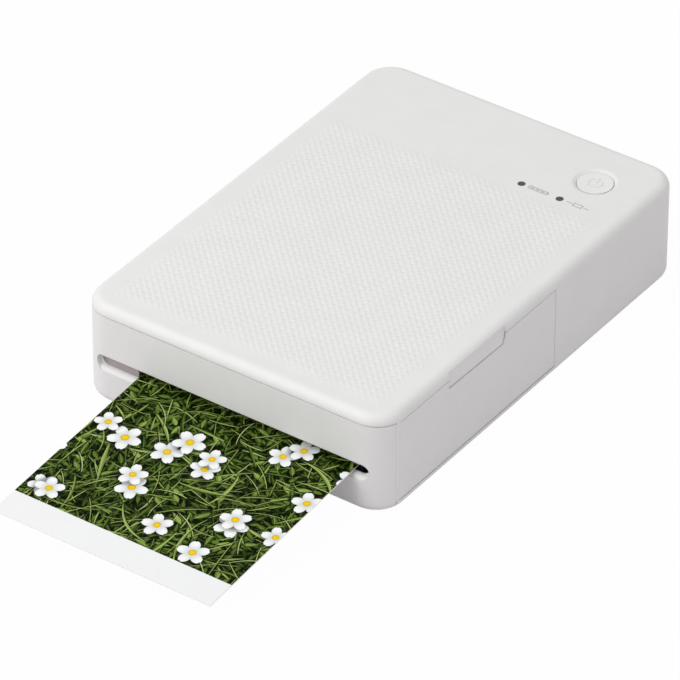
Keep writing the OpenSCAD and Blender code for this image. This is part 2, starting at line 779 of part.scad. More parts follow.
module paper_stack() {
    color([0.97, 0.97, 0.96]) for (i = [0 : stack_count - 1])
        block(path_x - sheet_w / 2, path_x + sheet_w / 2, stack_y0, stack_y1,
            stack_z0 + i * sheet_t, stack_z0 + (i + 1) * sheet_t - 0.01);
}

module inner_frame() {
    y0 = lid_hinge_y + 4;
    y1 = tray_y1 + tray_wall;
    x0 = tray_x0 - tray_wall;
    x1 = tray_x1 + tray_wall;
    top = shelf_z + fit;
    color([0.35, 0.36, 0.38]) difference() {
        union() {
            block(x0, tray_x0, y0, y1, floor_z, top);
            block(tray_x1, x1, y0, y1, floor_z, top);
            block(x0, x1, tray_y1, y1, shelf_z - 3, top);
            block(x0, x1, shelf_y0, y1, shelf_z, battery_z0);
            // board posts
            for (x = [board_x0 + 2, board_x1 - 3], y = [board_y0 + 3, board_y1 - 8])
                translate([x, y, shelf_z]) cylinder(h = board_z0 - shelf_z, r = 1.8);
            // battery stops
            for (x = [-battery_w / 2 - gap - stop_w, battery_w / 2 + gap])
                translate([path_x + x, shelf_y0 + stop_from, shelf_z])
                    cube([stop_w, stop_l, battery_z0 - shelf_z + 5]);
        }
        rod_x(x0 - past, x1 + past, pickup_y, pickup_z, shaft_r + 0.5);
    }
}

module battery() {
    x0 = path_x - battery_w / 2;
    x1 = path_x + battery_w / 2;
    half = battery_h / 2;
    color([0.2, 0.2, 0.22]) {
        block(x0, x1, battery_y0, battery_y1 - half, battery_z0, battery_z0 + battery_h);
        rod_x(x0, x1, battery_y1 - half, battery_z0 + half, half - 0.01);
    }
}

module printed_sheet() {
    y0 = front_y - print_out * cos(path_tilt);
    color([0.3, 0.45, 0.2]) along_x(path_x - sheet_w / 2, path_x + sheet_w / 2)
        translate([y0, path_at(y0)]) rotate(path_tilt)
            translate([0, -sheet_t / 2]) square([sheet_l, sheet_t]);
}

// ---- chassis ----
module shaft_holes(x0, x1, bush) {
    for (y = [exit_y, platen_y, capstan_y]) rod_x(x0, x1, y, roller_z(y), bush);
    for (y = [exit_y, capstan_y]) rod_x(x0, x1, y, above_path(y, pinch_r), pinch_shaft_r + shaft_clear);
    rod_x(x0, x1, pickup_y, pickup_z, bush);
    rod_x(x0, x1, pivot_y, pivot_z, pivot_r + 0.01);
    rod_x(x0, x1, cam_y, cam_z, pivot_r + shaft_clear);
}

module left_chassis() {
    color([0.72, 0.73, 0.75]) difference() {
        block(plate_l0, plate_l1, plate_y0, plate_y1, floor_z, plate_top);
        shaft_holes(plate_l0 - 1, plate_l1 + 1, bush_r);
        rod_x(plate_l0 - 1, plate_l1 + 1, takeup_y, takeup_z, journal_r + 0.1);
    }
}

module right_chassis() {
    window_z0 = path_at(front_y) + 1.4;
    color([0.72, 0.73, 0.75]) difference() {
        union() {
            block(plate_r0, plate_r1, plate_y0, plate_y1, floor_z, window_z0);
            block(plate_r0, plate_r1, plate_y0, supply_y - supply_out - 0.6, floor_z, plate_top - 10);
            block(plate_r0, plate_r1, takeup_y + takeup_out + 1, plate_y1, floor_z, plate_top);
        }
        shaft_holes(plate_r0 - 1, plate_r1 + 1, bush_r);
    }
}

module top_bridge() {
    y0 = cam_y - 4;
    y1 = pivot_y + 4;
    color([0.72, 0.73, 0.75]) difference() {
        union() {
            block(plate_l0, ear_x1, y0, y1, plate_top, plate_top + 0.9);
            block(ear_x0, ear_x1, y0, y1, cam_z - 1.8, plate_top + 0.5);
        }
        shaft_holes(ear_x0 - 1, ear_x1 + 1, 0.5);
    }
}

module roller_bushes() {
    color([0.85, 0.78, 0.6]) for (x = [plate_l0, plate_r0], y = [exit_y, platen_y, capstan_y, pickup_y]) {
        z = (y == pickup_y) ? pickup_z : roller_z(y);
        difference() {
            union() {
                rod_x(x - 0.01, x + plate_t + 0.01, y, z, bush_r - 0.01);
                rod_x(x + (x < 0 ? plate_t : -0.5), x + (x < 0 ? plate_t + 0.5 : 0), y, z, bush_r + 0.5);
            }
            rod_x(x - 2, x + plate_t + 2, y, z, shaft_r + shaft_clear);
        }
    }
}

// ---- rollers ----
module roller_sleeve(y, z, r) {
    difference() {
        rod_x(roller_x0, roller_x1, y, z, r);
        rod_x(roller_x0 - 1, roller_x1 + 1, y, z, shaft_r + 0.01);
    }
}

module exit_roller() {
    color([0.2, 0.2, 0.21]) roller_sleeve(exit_y, roller_z(exit_y), roller_r);
}

module platen_roller() {
    color([0.2, 0.2, 0.21]) roller_sleeve(platen_y, roller_z(platen_y), roller_r);
}

module capstan_roller() {
    color([0.6, 0.6, 0.62]) roller_sleeve(capstan_y, roller_z(capstan_y), roller_r);
}

module exit_shaft() {
    color([0.75, 0.75, 0.77]) rod_x(belt_x0 - flange_t, shaft_x1, exit_y, roller_z(exit_y), shaft_r);
}

module platen_shaft() {
    color([0.75, 0.75, 0.77]) rod_x(belt_x0 - flange_t, shaft_x1, platen_y, roller_z(platen_y), shaft_r);
}

module capstan_shaft() {
    color([0.75, 0.75, 0.77]) rod_x(gear_x0 - 0.2, shaft_x1, capstan_y, roller_z(capstan_y), shaft_r);
}

module pinch_roller(y) {
    z = above_path(y, pinch_r);
    rod_x(roller_x0, roller_x1, y, z, pinch_r);
    rod_x(plate_l0 - 0.4, plate_r1 + 0.4, y, z, pinch_shaft_r);
}

module exit_pinch() {
    color([0.25, 0.25, 0.26]) pinch_roller(exit_y);
}

module capstan_pinch() {
    color([0.25, 0.25, 0.26]) pinch_roller(capstan_y);
}

module pickup_roller() {
    reach = pickup_apart / 2 + pickup_w;
    color([0.2, 0.2, 0.21]) for (s = [-1, 1]) difference() {
        rod_x(path_x + (s * pickup_apart - pickup_w) / 2, path_x + (s * pickup_apart + pickup_w) / 2,
            pickup_y, pickup_z, pickup_r);
        rod_x(path_x - reach, path_x + reach, pickup_y, pickup_z, shaft_r + 0.01);
    }
}

module pickup_shaft() {
    color([0.75, 0.75, 0.77]) rod_x(plate_l0 - 0.4, shaft_x1, pickup_y, pickup_z, shaft_r);
}

// paper guide: a plate just below the paper path, with a turned-down edge at each end
module paper_guide(y0, y1) {
    t = 1;
    flange = 2.2;
    z0 = path_at(y0) - sheet_t / 2 - gap;
    z1 = path_at(y1) - sheet_t / 2 - gap;
    color([0.3, 0.31, 0.33]) along_x(plate_l1, plate_r0)
        polygon([[y0, z0 - t / 2], [y0 + t, z0], [y1 - t, z1], [y1, z1 - t / 2],
            [y1, z1 - flange], [y1 - t, z1 - flange], [y1 - t, z1 - t],
            [y0 + t, z0 - t], [y0 + t, z0 - flange], [y0, z0 - flange]]);
}

module front_guide() {
    paper_guide(exit_y + roller_r + 1, platen_y - roller_r - 1);
}

module rear_guide() {
    paper_guide(platen_y + roller_r + 1, capstan_y - roller_r - 1);
}

// ---- belt and gears ----
module pulley(y) {
    z = roller_z(y);
    difference() {
        union() {
            rod_x(belt_x0 - flange_t, belt_x1 + flange_t, y, z, pulley_r);
            rod_x(belt_x0 - flange_t, belt_x0 - 0.05, y, z, pulley_r + 0.7);
            rod_x(belt_x1 + 0.05, belt_x1 + flange_t, y, z, pulley_r + 0.7);
        }
        rod_x(belt_x0 - 1, belt_x1 + 1, y, z, shaft_r + 0.01);
    }
}

module exit_pulley() {
    color([0.9, 0.9, 0.86]) pulley(exit_y);
}

module platen_pulley() {
    color([0.9, 0.9, 0.86]) pulley(platen_y);
}

module capstan_pulley() {
    color([0.9, 0.9, 0.86]) pulley(capstan_y);
}

module belt_outline(r) {
    run = (capstan_y - exit_y) / cos(path_tilt);
    translate([exit_y, roller_z(exit_y)]) rotate(path_tilt) {
        circle(r);
        translate([0, -r]) square([run, 2 * r]);
        translate([run, 0]) circle(r);
    }
}

module drive_belt() {
    color([0.15, 0.15, 0.16]) along_x(belt_x0, belt_x1) difference() {
        belt_outline(pulley_r + belt_gap + belt_t);
        belt_outline(pulley_r + belt_gap);
    }
}

module capstan_gear() {
    color([0.92, 0.92, 0.88]) difference() {
        gear_x(capstan_teeth, capstan_y, roller_z(capstan_y), 0);
        rod_x(gear_x0 - 1, gear_x1 + 1, capstan_y, roller_z(capstan_y), shaft_r + 0.01);
    }
}

module motor(y, z, r) {
    difference() {
        rod_x(motor_x0, motor_x1, y, z, r);
        rod_x(motor_x1 - 3, motor_x1 + past, y, z, motor_shaft_r + shaft_clear);
    }
}

module pinion(y, z, aim) {
    gear_x(pinion_teeth, y, z, aim);
    rod_x(motor_x1 - 2.6, gear_x0 + fit, y, z, motor_shaft_r);
}

module feed_motor() {
    color([0.55, 0.56, 0.58]) motor(feed_y, feed_z, feed_motor_r);
}

module feed_pinion() {
    color([0.8, 0.7, 0.45]) pinion(feed_y, feed_z, 180 + 180 / pinion_teeth);
}

module takeup_gear() {
    color([0.92, 0.92, 0.88]) {
        gear_x(takeup_teeth, takeup_y, takeup_z, ribbon_angle);
        rod_x(gear_x1 - 0.1, cassette_x0 - 0.5, takeup_y, takeup_z, journal_r);
    }
}

module ribbon_motor() {
    color([0.55, 0.56, 0.58]) motor(ribbon_y, ribbon_z, ribbon_motor_r);
}

module ribbon_pinion() {
    color([0.8, 0.7, 0.45]) pinion(ribbon_y, ribbon_z, ribbon_angle + 180 + 180 / pinion_teeth);
}

// ---- print head ----
module head_strip() {
    color([0.85, 0.83, 0.78]) {
        rod_x(arm_x0 + 1.6, arm_x1 - 1.6, platen_y, head_z + glaze_r, glaze_r);
        block(arm_x0 + 1.6, arm_x1 - 1.6, platen_y - strip_l / 2, platen_y + strip_l / 2,
            head_z + glaze_r, sink_z);
    }
}

module heat_sink() {
    color([0.75, 0.76, 0.78]) difference() {
        block(arm_x0 + 1.1, arm_x1 - 1.1, platen_y - sink_half, platen_y + sink_half,
            sink_z, sink_z + sink_h);
        for (i = [-1 : 1]) translate([0, platen_y + 2.6 * i, 0])
            block(arm_x0, arm_x1, -0.7, 0.7, sink_z + 2, sink_z + sink_h + past);
    }
}

module head_arm() {
    top = sink_z + sink_h;
    color([0.7, 0.71, 0.73]) difference() {
        union() {
            block(arm_x0, arm_x1, platen_y - sink_half, cam_y + 1, top, top + arm_t);
            for (x = [arm_x0, arm_x1 - arm_t]) {
                block(x, x + arm_t, platen_y - sink_half, platen_y + sink_half, sink_z + 1, top + arm_t);
                block(x, x + arm_t, platen_y - sink_half, pivot_y, arm_low, top + arm_t);
                rod_x(x, x + arm_t, pivot_y, pivot_z, pivot_r + 1.2);
            }
        }
        rod_x(arm_x0 - 1, arm_x1 + 1, pivot_y, pivot_z, pivot_r + shaft_clear);
    }
}

module head_pivot() {
    color([0.75, 0.75, 0.77]) rod_x(plate_l0 - 0.2, ear_x1 + 0.4, pivot_y, pivot_z, pivot_r);
}

module cam_shaft() {
    color([0.6, 0.6, 0.62]) {
        rod_x(plate_l0 - 0.4, ear_x1 + 0.4, cam_y, cam_z, pivot_r);
        for (x = [arm_x0, arm_x1 - arm_t]) rod_x(x, x + arm_t, cam_y - cam_throw, cam_z, cam_r);
    }
}

// ---- ribbon cassette ----
// the chamber's wall is open where the film passes, towards the print head
module chamber(y, z, r, open_from) {
    along_x(cassette_x0, cassette_x1) translate([y, z]) difference() {
        circle(r);
        circle(r - cassette_wall);
        polygon([[0, 0], for (i = [0 : 4]) let (a = open_from + chamber_open * i / 4)
            2 * r * [cos(a), sin(a)]]);
    }
}

module cassette_case() {
    rail_low = [[supply_y, path_at(supply_y) + rail_lift], [takeup_y, path_at(takeup_y) + rail_lift]];
    rail_top = [rail_low[1] + [0, rail_h], rail_low[0] + [0, rail_h]];
    color([0.2, 0.21, 0.23]) difference() {
        union() {
            chamber(supply_y, supply_z, supply_out, supply_open_from);
            chamber(takeup_y, takeup_z, takeup_out, takeup_open_from);
            for (x = [cassette_x0, cassette_x1 - cassette_wall]) {
                rod_x(x, x + cassette_wall, supply_y, supply_z, supply_out);
                rod_x(x, x + cassette_wall, takeup_y, takeup_z, takeup_out);
                along_x(x, x + cassette_wall) polygon(concat(rail_low, rail_top));
            }
            // grip at the open end
            block(cassette_x1 - fit, cassette_x1 + grip_l, supply_y - 3, supply_y + 3,
                supply_z - 0.8, supply_z + 0.8);
        }
        for (x = [cassette_x0 - past, cassette_x1 - cassette_wall - past]) {
            rod_x(x, x + cassette_wall + 2 * past, supply_y, supply_z, journal_r + 0.06);
            rod_x(x, x + cassette_wall + 2 * past, takeup_y, takeup_z, journal_r + 0.06);
        }
    }
}

module core(y, z, r) {
    rod_x(cassette_x0 + cassette_wall + gap, cassette_x1 - cassette_wall - gap, y, z, r);
    rod_x(cassette_x0 - 0.4, cassette_x1 + 0.4, y, z, journal_r);
}

module film_roll(y, z, r) {
    difference() {
        rod_x(path_x - film_w / 2, path_x + film_w / 2, y, z, r);
        rod_x(path_x - film_w, path_x + film_w, y, z, core_r + 0.01);
    }
}

module supply_core() {
    color([0.9, 0.9, 0.9]) core(supply_y, supply_z, core_r);
}

module takeup_core() {
    color([0.9, 0.9, 0.9]) core(takeup_y, takeup_z, core_r);
}

module supply_roll() {
    color([0.85, 0.55, 0.2]) film_roll(supply_y, supply_z, supply_r);
}

module takeup_roll() {
    color([0.5, 0.2, 0.35]) film_roll(takeup_y, takeup_z, takeup_r);
}

// point where a line from p touches the circle of radius r round c
function touch_point(p, c, r, side) =
    let (v = c - p, a = atan2(v[1], v[0]) + side * asin(r / norm(v)), reach = sqrt(v * v - r * r))
    p + reach * [cos(a), sin(a)];

module ribbon_film() {
    start = touch_point([platen_y, film_low], [supply_y, supply_z], supply_r + fit, 1);
    end = touch_point([platen_y, film_low], [takeup_y, takeup_z], takeup_r + fit, -1);
    up = [0, film_t];
    color([0.8, 0.3, 0.4]) along_x(path_x - film_w / 2, path_x + film_w / 2)
        polygon([start - up, [platen_y, film_low], end - up, end, [platen_y, film_low] + up, start]);
}

// ---- board, key and lights ----
module power_key() {
    color([0.9, 0.9, 0.9]) translate([key_x, key_y, 0]) difference() {
        union() {
            translate([0, 0, key_seat - key_gap - key_flange_t])
                cylinder(h = key_face - key_seat + key_gap + key_flange_t, r = key_d / 2);
            translate([0, 0, key_seat - key_gap - key_flange_t])
                cylinder(h = key_flange_t, r = key_d / 2 + 0.9);
            translate([0, 0, stem_z0]) cylinder(h = roof_z - stem_z0, r = 1.6);
        }
        translate([0, 0, key_face + key_bowl_r - key_hollow]) sphere(r = key_bowl_r, $fn = 128);
    }
}

module light_pipes() {
    color([0.3, 0.3, 0.32]) {
        for (x = [light_x0, light_x1]) translate([x, light_y, pipe_z0])
            cylinder(h = body_h - light_fit - pipe_z0, r = light_d / 2);
        block(light_x0, light_x1, light_y - 0.7, light_y + 0.7, roof_z - 1.4, roof_z - fit);
    }
}

// part on the board, at a place counted from the board's left front corner
module board_part(place, size) {
    translate([board_x0 + place[0], board_y0 + place[1], board_z1 - fit]) cube(size + [0, 0, fit]);
}

module main_board() {
    color([0.12, 0.35, 0.22]) {
        block(board_x0, board_x1, board_y0, board_y1, board_z0, board_z1);
        board_part([8, 8], [12, 12, 1.4]);
        board_part([26, 10], [8, 7, 1.1]);
        board_part([6, board_y1 - board_y0 - 6], [16, 5, 3]);
    }
}

module key_switch() {
    color([0.15, 0.15, 0.16]) translate([key_x, key_y, board_z1]) {
        translate([-3, -3, 0]) cube([6, 6, switch_h - 1]);
        cylinder(h = switch_h, r = 1.7);
    }
}

module light_sources() {
    color([0.95, 0.9, 0.7]) for (x = [light_x0, light_x1])
        block(x - 0.8, x + 0.8, light_y - 0.5, light_y + 0.5, board_z1, board_z1 + 0.7);
}

module power_socket() {
    tongue_w = socket_w - 2.4;
    y0 = back_y - 7.6;
    color([0.65, 0.66, 0.68]) difference() {
        socket_mouth(0, y0, back_y - 0.4);
        socket_mouth(-0.35, y0 + 1, back_y + past);
        block(socket_x - socket_w, socket_x + socket_w, y0 - past, back_y, 0, board_z1);
    }
    translate([socket_x - tongue_w / 2, y0 + 0.8, socket_z - 0.35]) cube([tongue_w, 5.4, 0.7]);
}

top_case();
front_panel();
bottom_case();
side_cover();
side_cover_pin();
paper_cover();
paper_cover_pin();
cover_latch();
feet();
case_screws();
power_key();
light_pipes();
printed_sheet();
paper_stack();
lift_plate();
lift_springs();
inner_frame();
left_chassis();
right_chassis();
top_bridge();
roller_bushes();
exit_roller();
exit_shaft();
platen_roller();
platen_shaft();
capstan_roller();
capstan_shaft();
exit_pinch();
capstan_pinch();
pickup_roller();
pickup_shaft();
front_guide();
rear_guide();
exit_pulley();
platen_pulley();
capstan_pulley();
drive_belt();
capstan_gear();
feed_motor();
feed_pinion();
head_strip();
heat_sink();
head_arm();
head_pivot();
cam_shaft();
cassette_case();
supply_core();
supply_roll();
takeup_core();
takeup_roll();
ribbon_film();
takeup_gear();
ribbon_motor();
ribbon_pinion();
main_board();
key_switch();
light_sources();
power_socket();
battery();
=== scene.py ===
"""A compact photo printer with a print in its slot: finishes, fine details, light and camera.

Lengths are metres in the printer's own frame: +X right, -Y front, +Z up, the table at z = 0.
"""

import math

import bmesh
import bpy
from mathutils import Matrix, Vector


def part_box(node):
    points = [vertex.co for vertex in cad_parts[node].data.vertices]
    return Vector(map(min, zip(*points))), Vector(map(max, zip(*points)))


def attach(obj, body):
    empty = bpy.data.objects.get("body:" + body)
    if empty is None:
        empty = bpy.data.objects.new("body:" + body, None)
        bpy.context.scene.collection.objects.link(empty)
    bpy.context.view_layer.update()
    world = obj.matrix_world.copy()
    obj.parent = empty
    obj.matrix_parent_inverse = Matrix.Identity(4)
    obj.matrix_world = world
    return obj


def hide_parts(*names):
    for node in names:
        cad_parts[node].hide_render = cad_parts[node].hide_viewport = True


MM = 0.001
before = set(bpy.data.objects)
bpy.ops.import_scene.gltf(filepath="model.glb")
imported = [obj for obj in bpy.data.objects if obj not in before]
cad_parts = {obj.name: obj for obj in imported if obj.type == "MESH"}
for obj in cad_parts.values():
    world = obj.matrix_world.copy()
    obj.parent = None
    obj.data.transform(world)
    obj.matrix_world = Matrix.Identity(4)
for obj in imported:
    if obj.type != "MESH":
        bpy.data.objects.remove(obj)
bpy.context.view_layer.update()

# The top of the case, its key and its lights
TOP_Z = 32.9 * MM
KEY_MIDDLE = Vector((33.6 * MM, 55.1 * MM, 0))
KEY_FACE_Z = 32.25 * MM
LIGHTS_Y = 42.4 * MM
LIGHTS_X = (17.3 * MM, 30.1 * MM)

# The relief on the lid: its ends, the pitch and shift of its cells, how high its pits and its
# pillows lie above the lid, and the width of the border where it fades out and its rim dips
RELIEF_X = (-45.6 * MM, 46.0 * MM)
RELIEF_Y = (-68.0 * MM, 40.0 * MM)
RELIEF_PITCH = (2.2875 * MM, 2.295 * MM)
RELIEF_SHIFT = (1.39 * MM, 0.66 * MM)
RELIEF_FLOOR = 0.02 * MM
RELIEF_HEIGHT = 0.38 * MM
RELIEF_FADE = 5.0 * MM
RELIEF_RIM_SUNK = 0.015 * MM
RELIEF_SKIRT = 0.5 * MM
RELIEF_CELL_STEPS = 7

# The case's outline, the seams between its pieces, and the lips that close them from behind
SIDE_X = 51.1 * MM
FACE_Y = -72.9 * MM
CORNER_R = 9.1 * MM
PARTING_Z = 29.6 * MM
COVER_Y = (-66.7 * MM, 9.1 * MM)
COVER_LOW_Z = 3.9 * MM
NOTCH_Y = (-42.3 * MM, -15.3 * MM)
SEAM = 0.25 * MM
LIP_DEEP = 0.08 * MM
PARTING_LIP_DEEP = 0.025 * MM
LIP_THICK = 0.7 * MM

# The mouth of the exit slot, inside which painted shade deepens the front panel's tone: each pair
# is where the painted shade starts and where it is whole
MOUTH_MIDDLE_Z = 13.8 * MM
MOUTH_HALF_WIDE = (48 * MM, 47 * MM)
MOUTH_HALF_HIGH = (3.6 * MM, 3.2 * MM)
MOUTH_DEEP_Y = (FACE_Y + 1.9 * MM, FACE_Y + 2.5 * MM)

# The sheet coming out of the slot
SHEET_X = (-31.7 * MM, 40.3 * MM)
SHEET_FRONT_Y = -137.74 * MM
SHEET_BACK_Y = -52.95 * MM
SHEET_TILT = math.radians(4)
SHEET_Z_AT_FACE = 13.0 * MM
SHEET_THICK = 0.26 * MM
SHEET_EDGE_ROUND = 0.04 * MM
TAB_EDGE_Y = -128.0 * MM
TAB_EDGE_SOFT = 0.05 * MM

# The printed picture's leaves, stems and blossoms
VEIN_PITCH = 0.6 * MM
FOLD_HALF = 0.06 * MM
RIB_HALF = (0.12 * MM, 0.03 * MM)
STEM_BOW = 80  # one over metres
STEM_THIN = 0.08 * MM
PETALS = 5

# The studio: light and floor as shares of full white, the floor's half width in metres, and
# where the lamps aim
WORLD_LIGHT = 0.58
FLOOR_WHITE_SHARE = 0.98
FLOOR_HALF = 3.0
LAMP_AIM = Vector((0, 0, 20 * MM))

# Moulded plastic
MOULD_GRAIN = 0.16 * MM
MOULD_MOTTLE = 9 * MM
MOULD_GLOSS = 0.56


class Wire:
    """One output of a node in a material, written into sums as a number is."""

    def __init__(self, tree, socket=None):
        self.tree = tree
        self.socket = socket

    def feed(self, node, sockets):
        """Gives a node's sockets their values or links."""
        for name, value in sockets.items():
            if isinstance(value, Wire):
                self.tree.links.new(value.socket, node.inputs[name])
            else:
                node.inputs[name].default_value = value

    def node(self, kind, settings=None, sockets=None, out=0):
        """Adds a node, sets it up, then feeds its sockets, and gives one of its outputs."""
        made = self.tree.nodes.new(kind)
        for name, value in (settings or {}).items():
            if name == "stops":
                set_stops(made.color_ramp, value)
            else:
                setattr(made, name, value)
        self.feed(made, sockets or {})
        return Wire(self.tree, made.outputs[out])

    def out(self, name):
        """Another output of the same node."""
        return Wire(self.tree, self.socket.node.outputs[name])

    def maths(self, operation, first, second=0.0):
        return self.node("ShaderNodeMath", {"operation": operation}, {0: first, 1: second})

    def __add__(self, other):
        return self.maths("ADD", self, other)

    __radd__ = __add__

    def __sub__(self, other):
        return self.maths("SUBTRACT", self, other)

    def __rsub__(self, other):
        return self.maths("SUBTRACT", other, self)

    def __mul__(self, other):
        return self.maths("MULTIPLY", self, other)

    __rmul__ = __mul__

    def __truediv__(self, other):
        return self.maths("DIVIDE", self, other)

    def __rtruediv__(self, other):
        return self.maths("DIVIDE", other, self)

    def __abs__(self):
        return self.maths("ABSOLUTE", self)

    def sin(self):
        return self.maths("SINE", self)

    def cos(self):
        return self.maths("COSINE", self)

    def root(self):
        return self.maths("SQRT", self)

    def fraction(self):
        return self.maths("FRACT", self)

    def least(self, other):
        return self.maths("MINIMUM", self, other)

    def most(self, other):
        return self.maths("MAXIMUM", self, other)

    def ease(self, low, high):
        """Rises smoothly from 0 at low to 1 at high, or falls where high is the smaller."""
        sockets = {"Value": self, "From Min": low, "From Max": high}
        return self.node("ShaderNodeMapRange", {"interpolation_type": "SMOOTHSTEP"}, sockets)

    def blend(self, first, second):
        """Mixes two colours by this wire, 0 giving the first."""
        sockets = {0: self, 6: first, 7: second}
        return self.node("ShaderNodeMix", {"data_type": "RGBA"}, sockets, out=2)

    def xyz(self):
        """The three parts of a vector."""
        parts = self.node("ShaderNodeSeparateXYZ", None, {0: self})
        return parts, parts.out(1), parts.out(2)

    def moved(self, shift):
        """A vector with a fixed shift added."""
        return self.node("ShaderNodeVectorMath", {"operation": "ADD"}, {0: self, 1: shift})

    def stretched(self, scale):
        """A vector with each part scaled."""
        return self.node("ShaderNodeVectorMath", {"operation": "MULTIPLY"}, {0: self, 1: scale})

    def noise(self, size, detail=3.0, roughness=0.55):
        """Noise of 0 to 1 over a place, with grains about one size across."""
        sockets = {"Vector": self, "Scale": 1 / size, "Detail": detail, "Roughness": roughness}
        return self.node("ShaderNodeTexNoise", None, sockets)

    def bump(self, depth, rounding=0.0):
        """A normal bumped by this wire, up to depth metres, over edges softened by a rounding."""
        sockets = {"Distance": depth, "Height": self}
        if rounding:
            sockets["Normal"] = self.node("ShaderNodeBevel", {"samples": 6}, {"Radius": rounding})
        return self.node("ShaderNodeBump", None, sockets)


def set_stops(ramp, stops):
    """Gives a colour ramp its stops, each a position and a colour."""
    while len(ramp.elements) > 1:
        ramp.elements.remove(ramp.elements[-1])
    ramp.elements[0].position, ramp.elements[0].color = stops[0]
    for position, colour in stops[1:]:
        ramp.elements.new(position).color = colour


def rgb(red, green, blue):
    """A colour written as on a screen, 0 to 255, in the linear values that a shader takes."""

    def linear(value):
        part = value / 255
        return part / 12.92 if part <= 0.04045 else ((part + 0.055) / 1.055) ** 2.4

    return (linear(red), linear(green), linear(blue), 1.0)


def new_finish(name):
    """Starts a material, and gives it with its place wire and its main shader."""
    material = bpy.data.materials.new(name)
    material.use_nodes = True
    wire = Wire(material.node_tree)
    place = wire.node("ShaderNodeTexCoord", out="Object")
    return material, place, material.node_tree.nodes["Principled BSDF"]


def moulded_plastic(name, light, dark, gloss=MOULD_GLOSS, grain=MOULD_GRAIN, depth=0.006 * MM,
                    rounding=0.0, painted_shade=None):
    """Satin moulded plastic with a spark-eroded grain and a faint flow mottle."""
    material, place, shader = new_finish(name)
    colour = place.noise(MOULD_MOTTLE, 3).ease(0.3, 0.7).blend(light, dark)
    # Any painted shade given is laid over the plastic's own colour
    if painted_shade:
        colour = painted_shade(place, colour)
    fine = place.noise(grain, 2)
    place.feed(shader, {
        "Base Color": colour,
        "Roughness": gloss - 0.05 + 0.1 * fine,
        "Normal": fine.bump(depth, rounding),
    })
    return material


def shell_white(name, rounding=0.0, painted_shade=None):
    """The white of the outer shell, with edges softened by a rounding, and any painted shade given
    laid over it.
    """
    return moulded_plastic(name, rgb(233, 233, 231), rgb(231, 231, 230),
                           rounding=rounding, painted_shade=painted_shade)


def mouth_painted_shade(place, colour):
    """Painted shade: turns the front panel warmer and darker in the depth of the exit slot, where
    shade falls.
    """
    x, y, z = place.xyz()
    inside = abs(x).ease(*MOUTH_HALF_WIDE) * abs(z - MOUTH_MIDDLE_Z).ease(*MOUTH_HALF_HIGH)
    # Painted shade: deep in the slot the panel takes a darker warm grey
    return (inside * y.ease(*MOUTH_DEEP_Y)).blend(colour, rgb(178, 167, 168))


def key_white():
    return moulded_plastic("key_white", rgb(236, 236, 234), rgb(233, 233, 232), gloss=0.36,
                           grain=0.12 * MM, depth=0.004 * MM, rounding=0.3 * MM)


def base_grey():
    return moulded_plastic("base_grey", rgb(221, 221, 221), rgb(219, 219, 220), gloss=0.5)


def coarse_moulding(name, light, dark, gloss):
    """Plastic of the inner parts, from a coarser mould."""
    return moulded_plastic(name, light, dark, gloss, grain=0.2 * MM, depth=0.01 * MM)


def rubber():
    """Ground rubber with a matt, slightly dusty surface."""
    material, place, shader = new_finish("ground_rubber")
    grain = place.noise(0.25 * MM, 4, 0.7)
    dust = place.noise(6 * MM, 3)
    place.feed(shader, {
        "Base Color": dust.ease(0.35, 0.75).blend(rgb(44, 44, 46), rgb(66, 65, 66)),
        "Roughness": 0.72 + 0.2 * grain,
        "Normal": grain.bump(0.03 * MM),
    })
    return material


def brushed(name, colour, shade, along, gloss):
    """Metal with fine lines, which run along the axis that has the smallest part of along."""
    material, place, shader = new_finish(name)
    lines = place.stretched(along).noise(0.3 * MM, 3, 0.6)
    cloud = place.noise(7 * MM, 3)
    place.feed(shader, {
        "Base Color": (0.5 * lines + 0.5 * cloud).ease(0.3, 0.7).blend(shade, colour),
        "Metallic": 1.0,
        "Roughness": gloss + 0.15 * (lines - 0.5),
        "Normal": lines.bump(0.004 * MM),
    })
    return material


def nylon():
    """Milky nylon of the gears and bushes."""
    material, place, shader = new_finish("milky_nylon")
    cloud = place.noise(2.5 * MM, 3)
    fine = place.noise(0.18 * MM, 2)
    place.feed(shader, {
        "Base Color": cloud.blend(rgb(226, 225, 217), rgb(208, 208, 200)),
        "Roughness": 0.38 + 0.12 * fine,
        "Normal": fine.bump(0.006 * MM),
    })
    return material


def head_glaze():
    """Glazed ceramic strip with the dark line of its heating elements along the middle."""
    material, place, shader = new_finish("head_glaze")
    low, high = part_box("head_strip")
    _, y, _ = place.xyz()
    middle = (low.y + high.y) / 2
    line = abs(y - middle).ease(0.55 * MM, 0.4 * MM)
    speck = place.noise(0.3 * MM, 2)
    body = speck.blend(rgb(226, 222, 210), rgb(214, 209, 196))
    place.feed(shader, {
        "Base Color": line.blend(body, rgb(92, 62, 44)),
        "Roughness": 0.16 + 0.1 * speck,
        "Coat Weight": 0.3,
        "Normal": speck.bump(0.003 * MM),
    })
    return material


def stacked_paper():
    """White sheets, with the lines between them on the edges of the stack."""
    material, place, shader = new_finish("stacked_paper")
    _, _, z = place.xyz()
    edge = (z * (math.tau / SHEET_THICK)).sin().ease(-1, -0.4)
    fibre = place.noise(0.4 * MM, 4, 0.65)
    side = place.node("ShaderNodeNewGeometry", out="Normal")
    _, _, upward = side.xyz()
    shown = edge.most(abs(upward).ease(0.5, 0.9))
    paper = fibre.blend(rgb(246, 246, 244), rgb(238, 238, 237))
    place.feed(shader, {
        "Base Color": shown.blend(rgb(188, 188, 186), paper),
        "Roughness": 0.55 + 0.2 * fibre,
        "Normal": fibre.bump(0.006 * MM),
    })
    return material


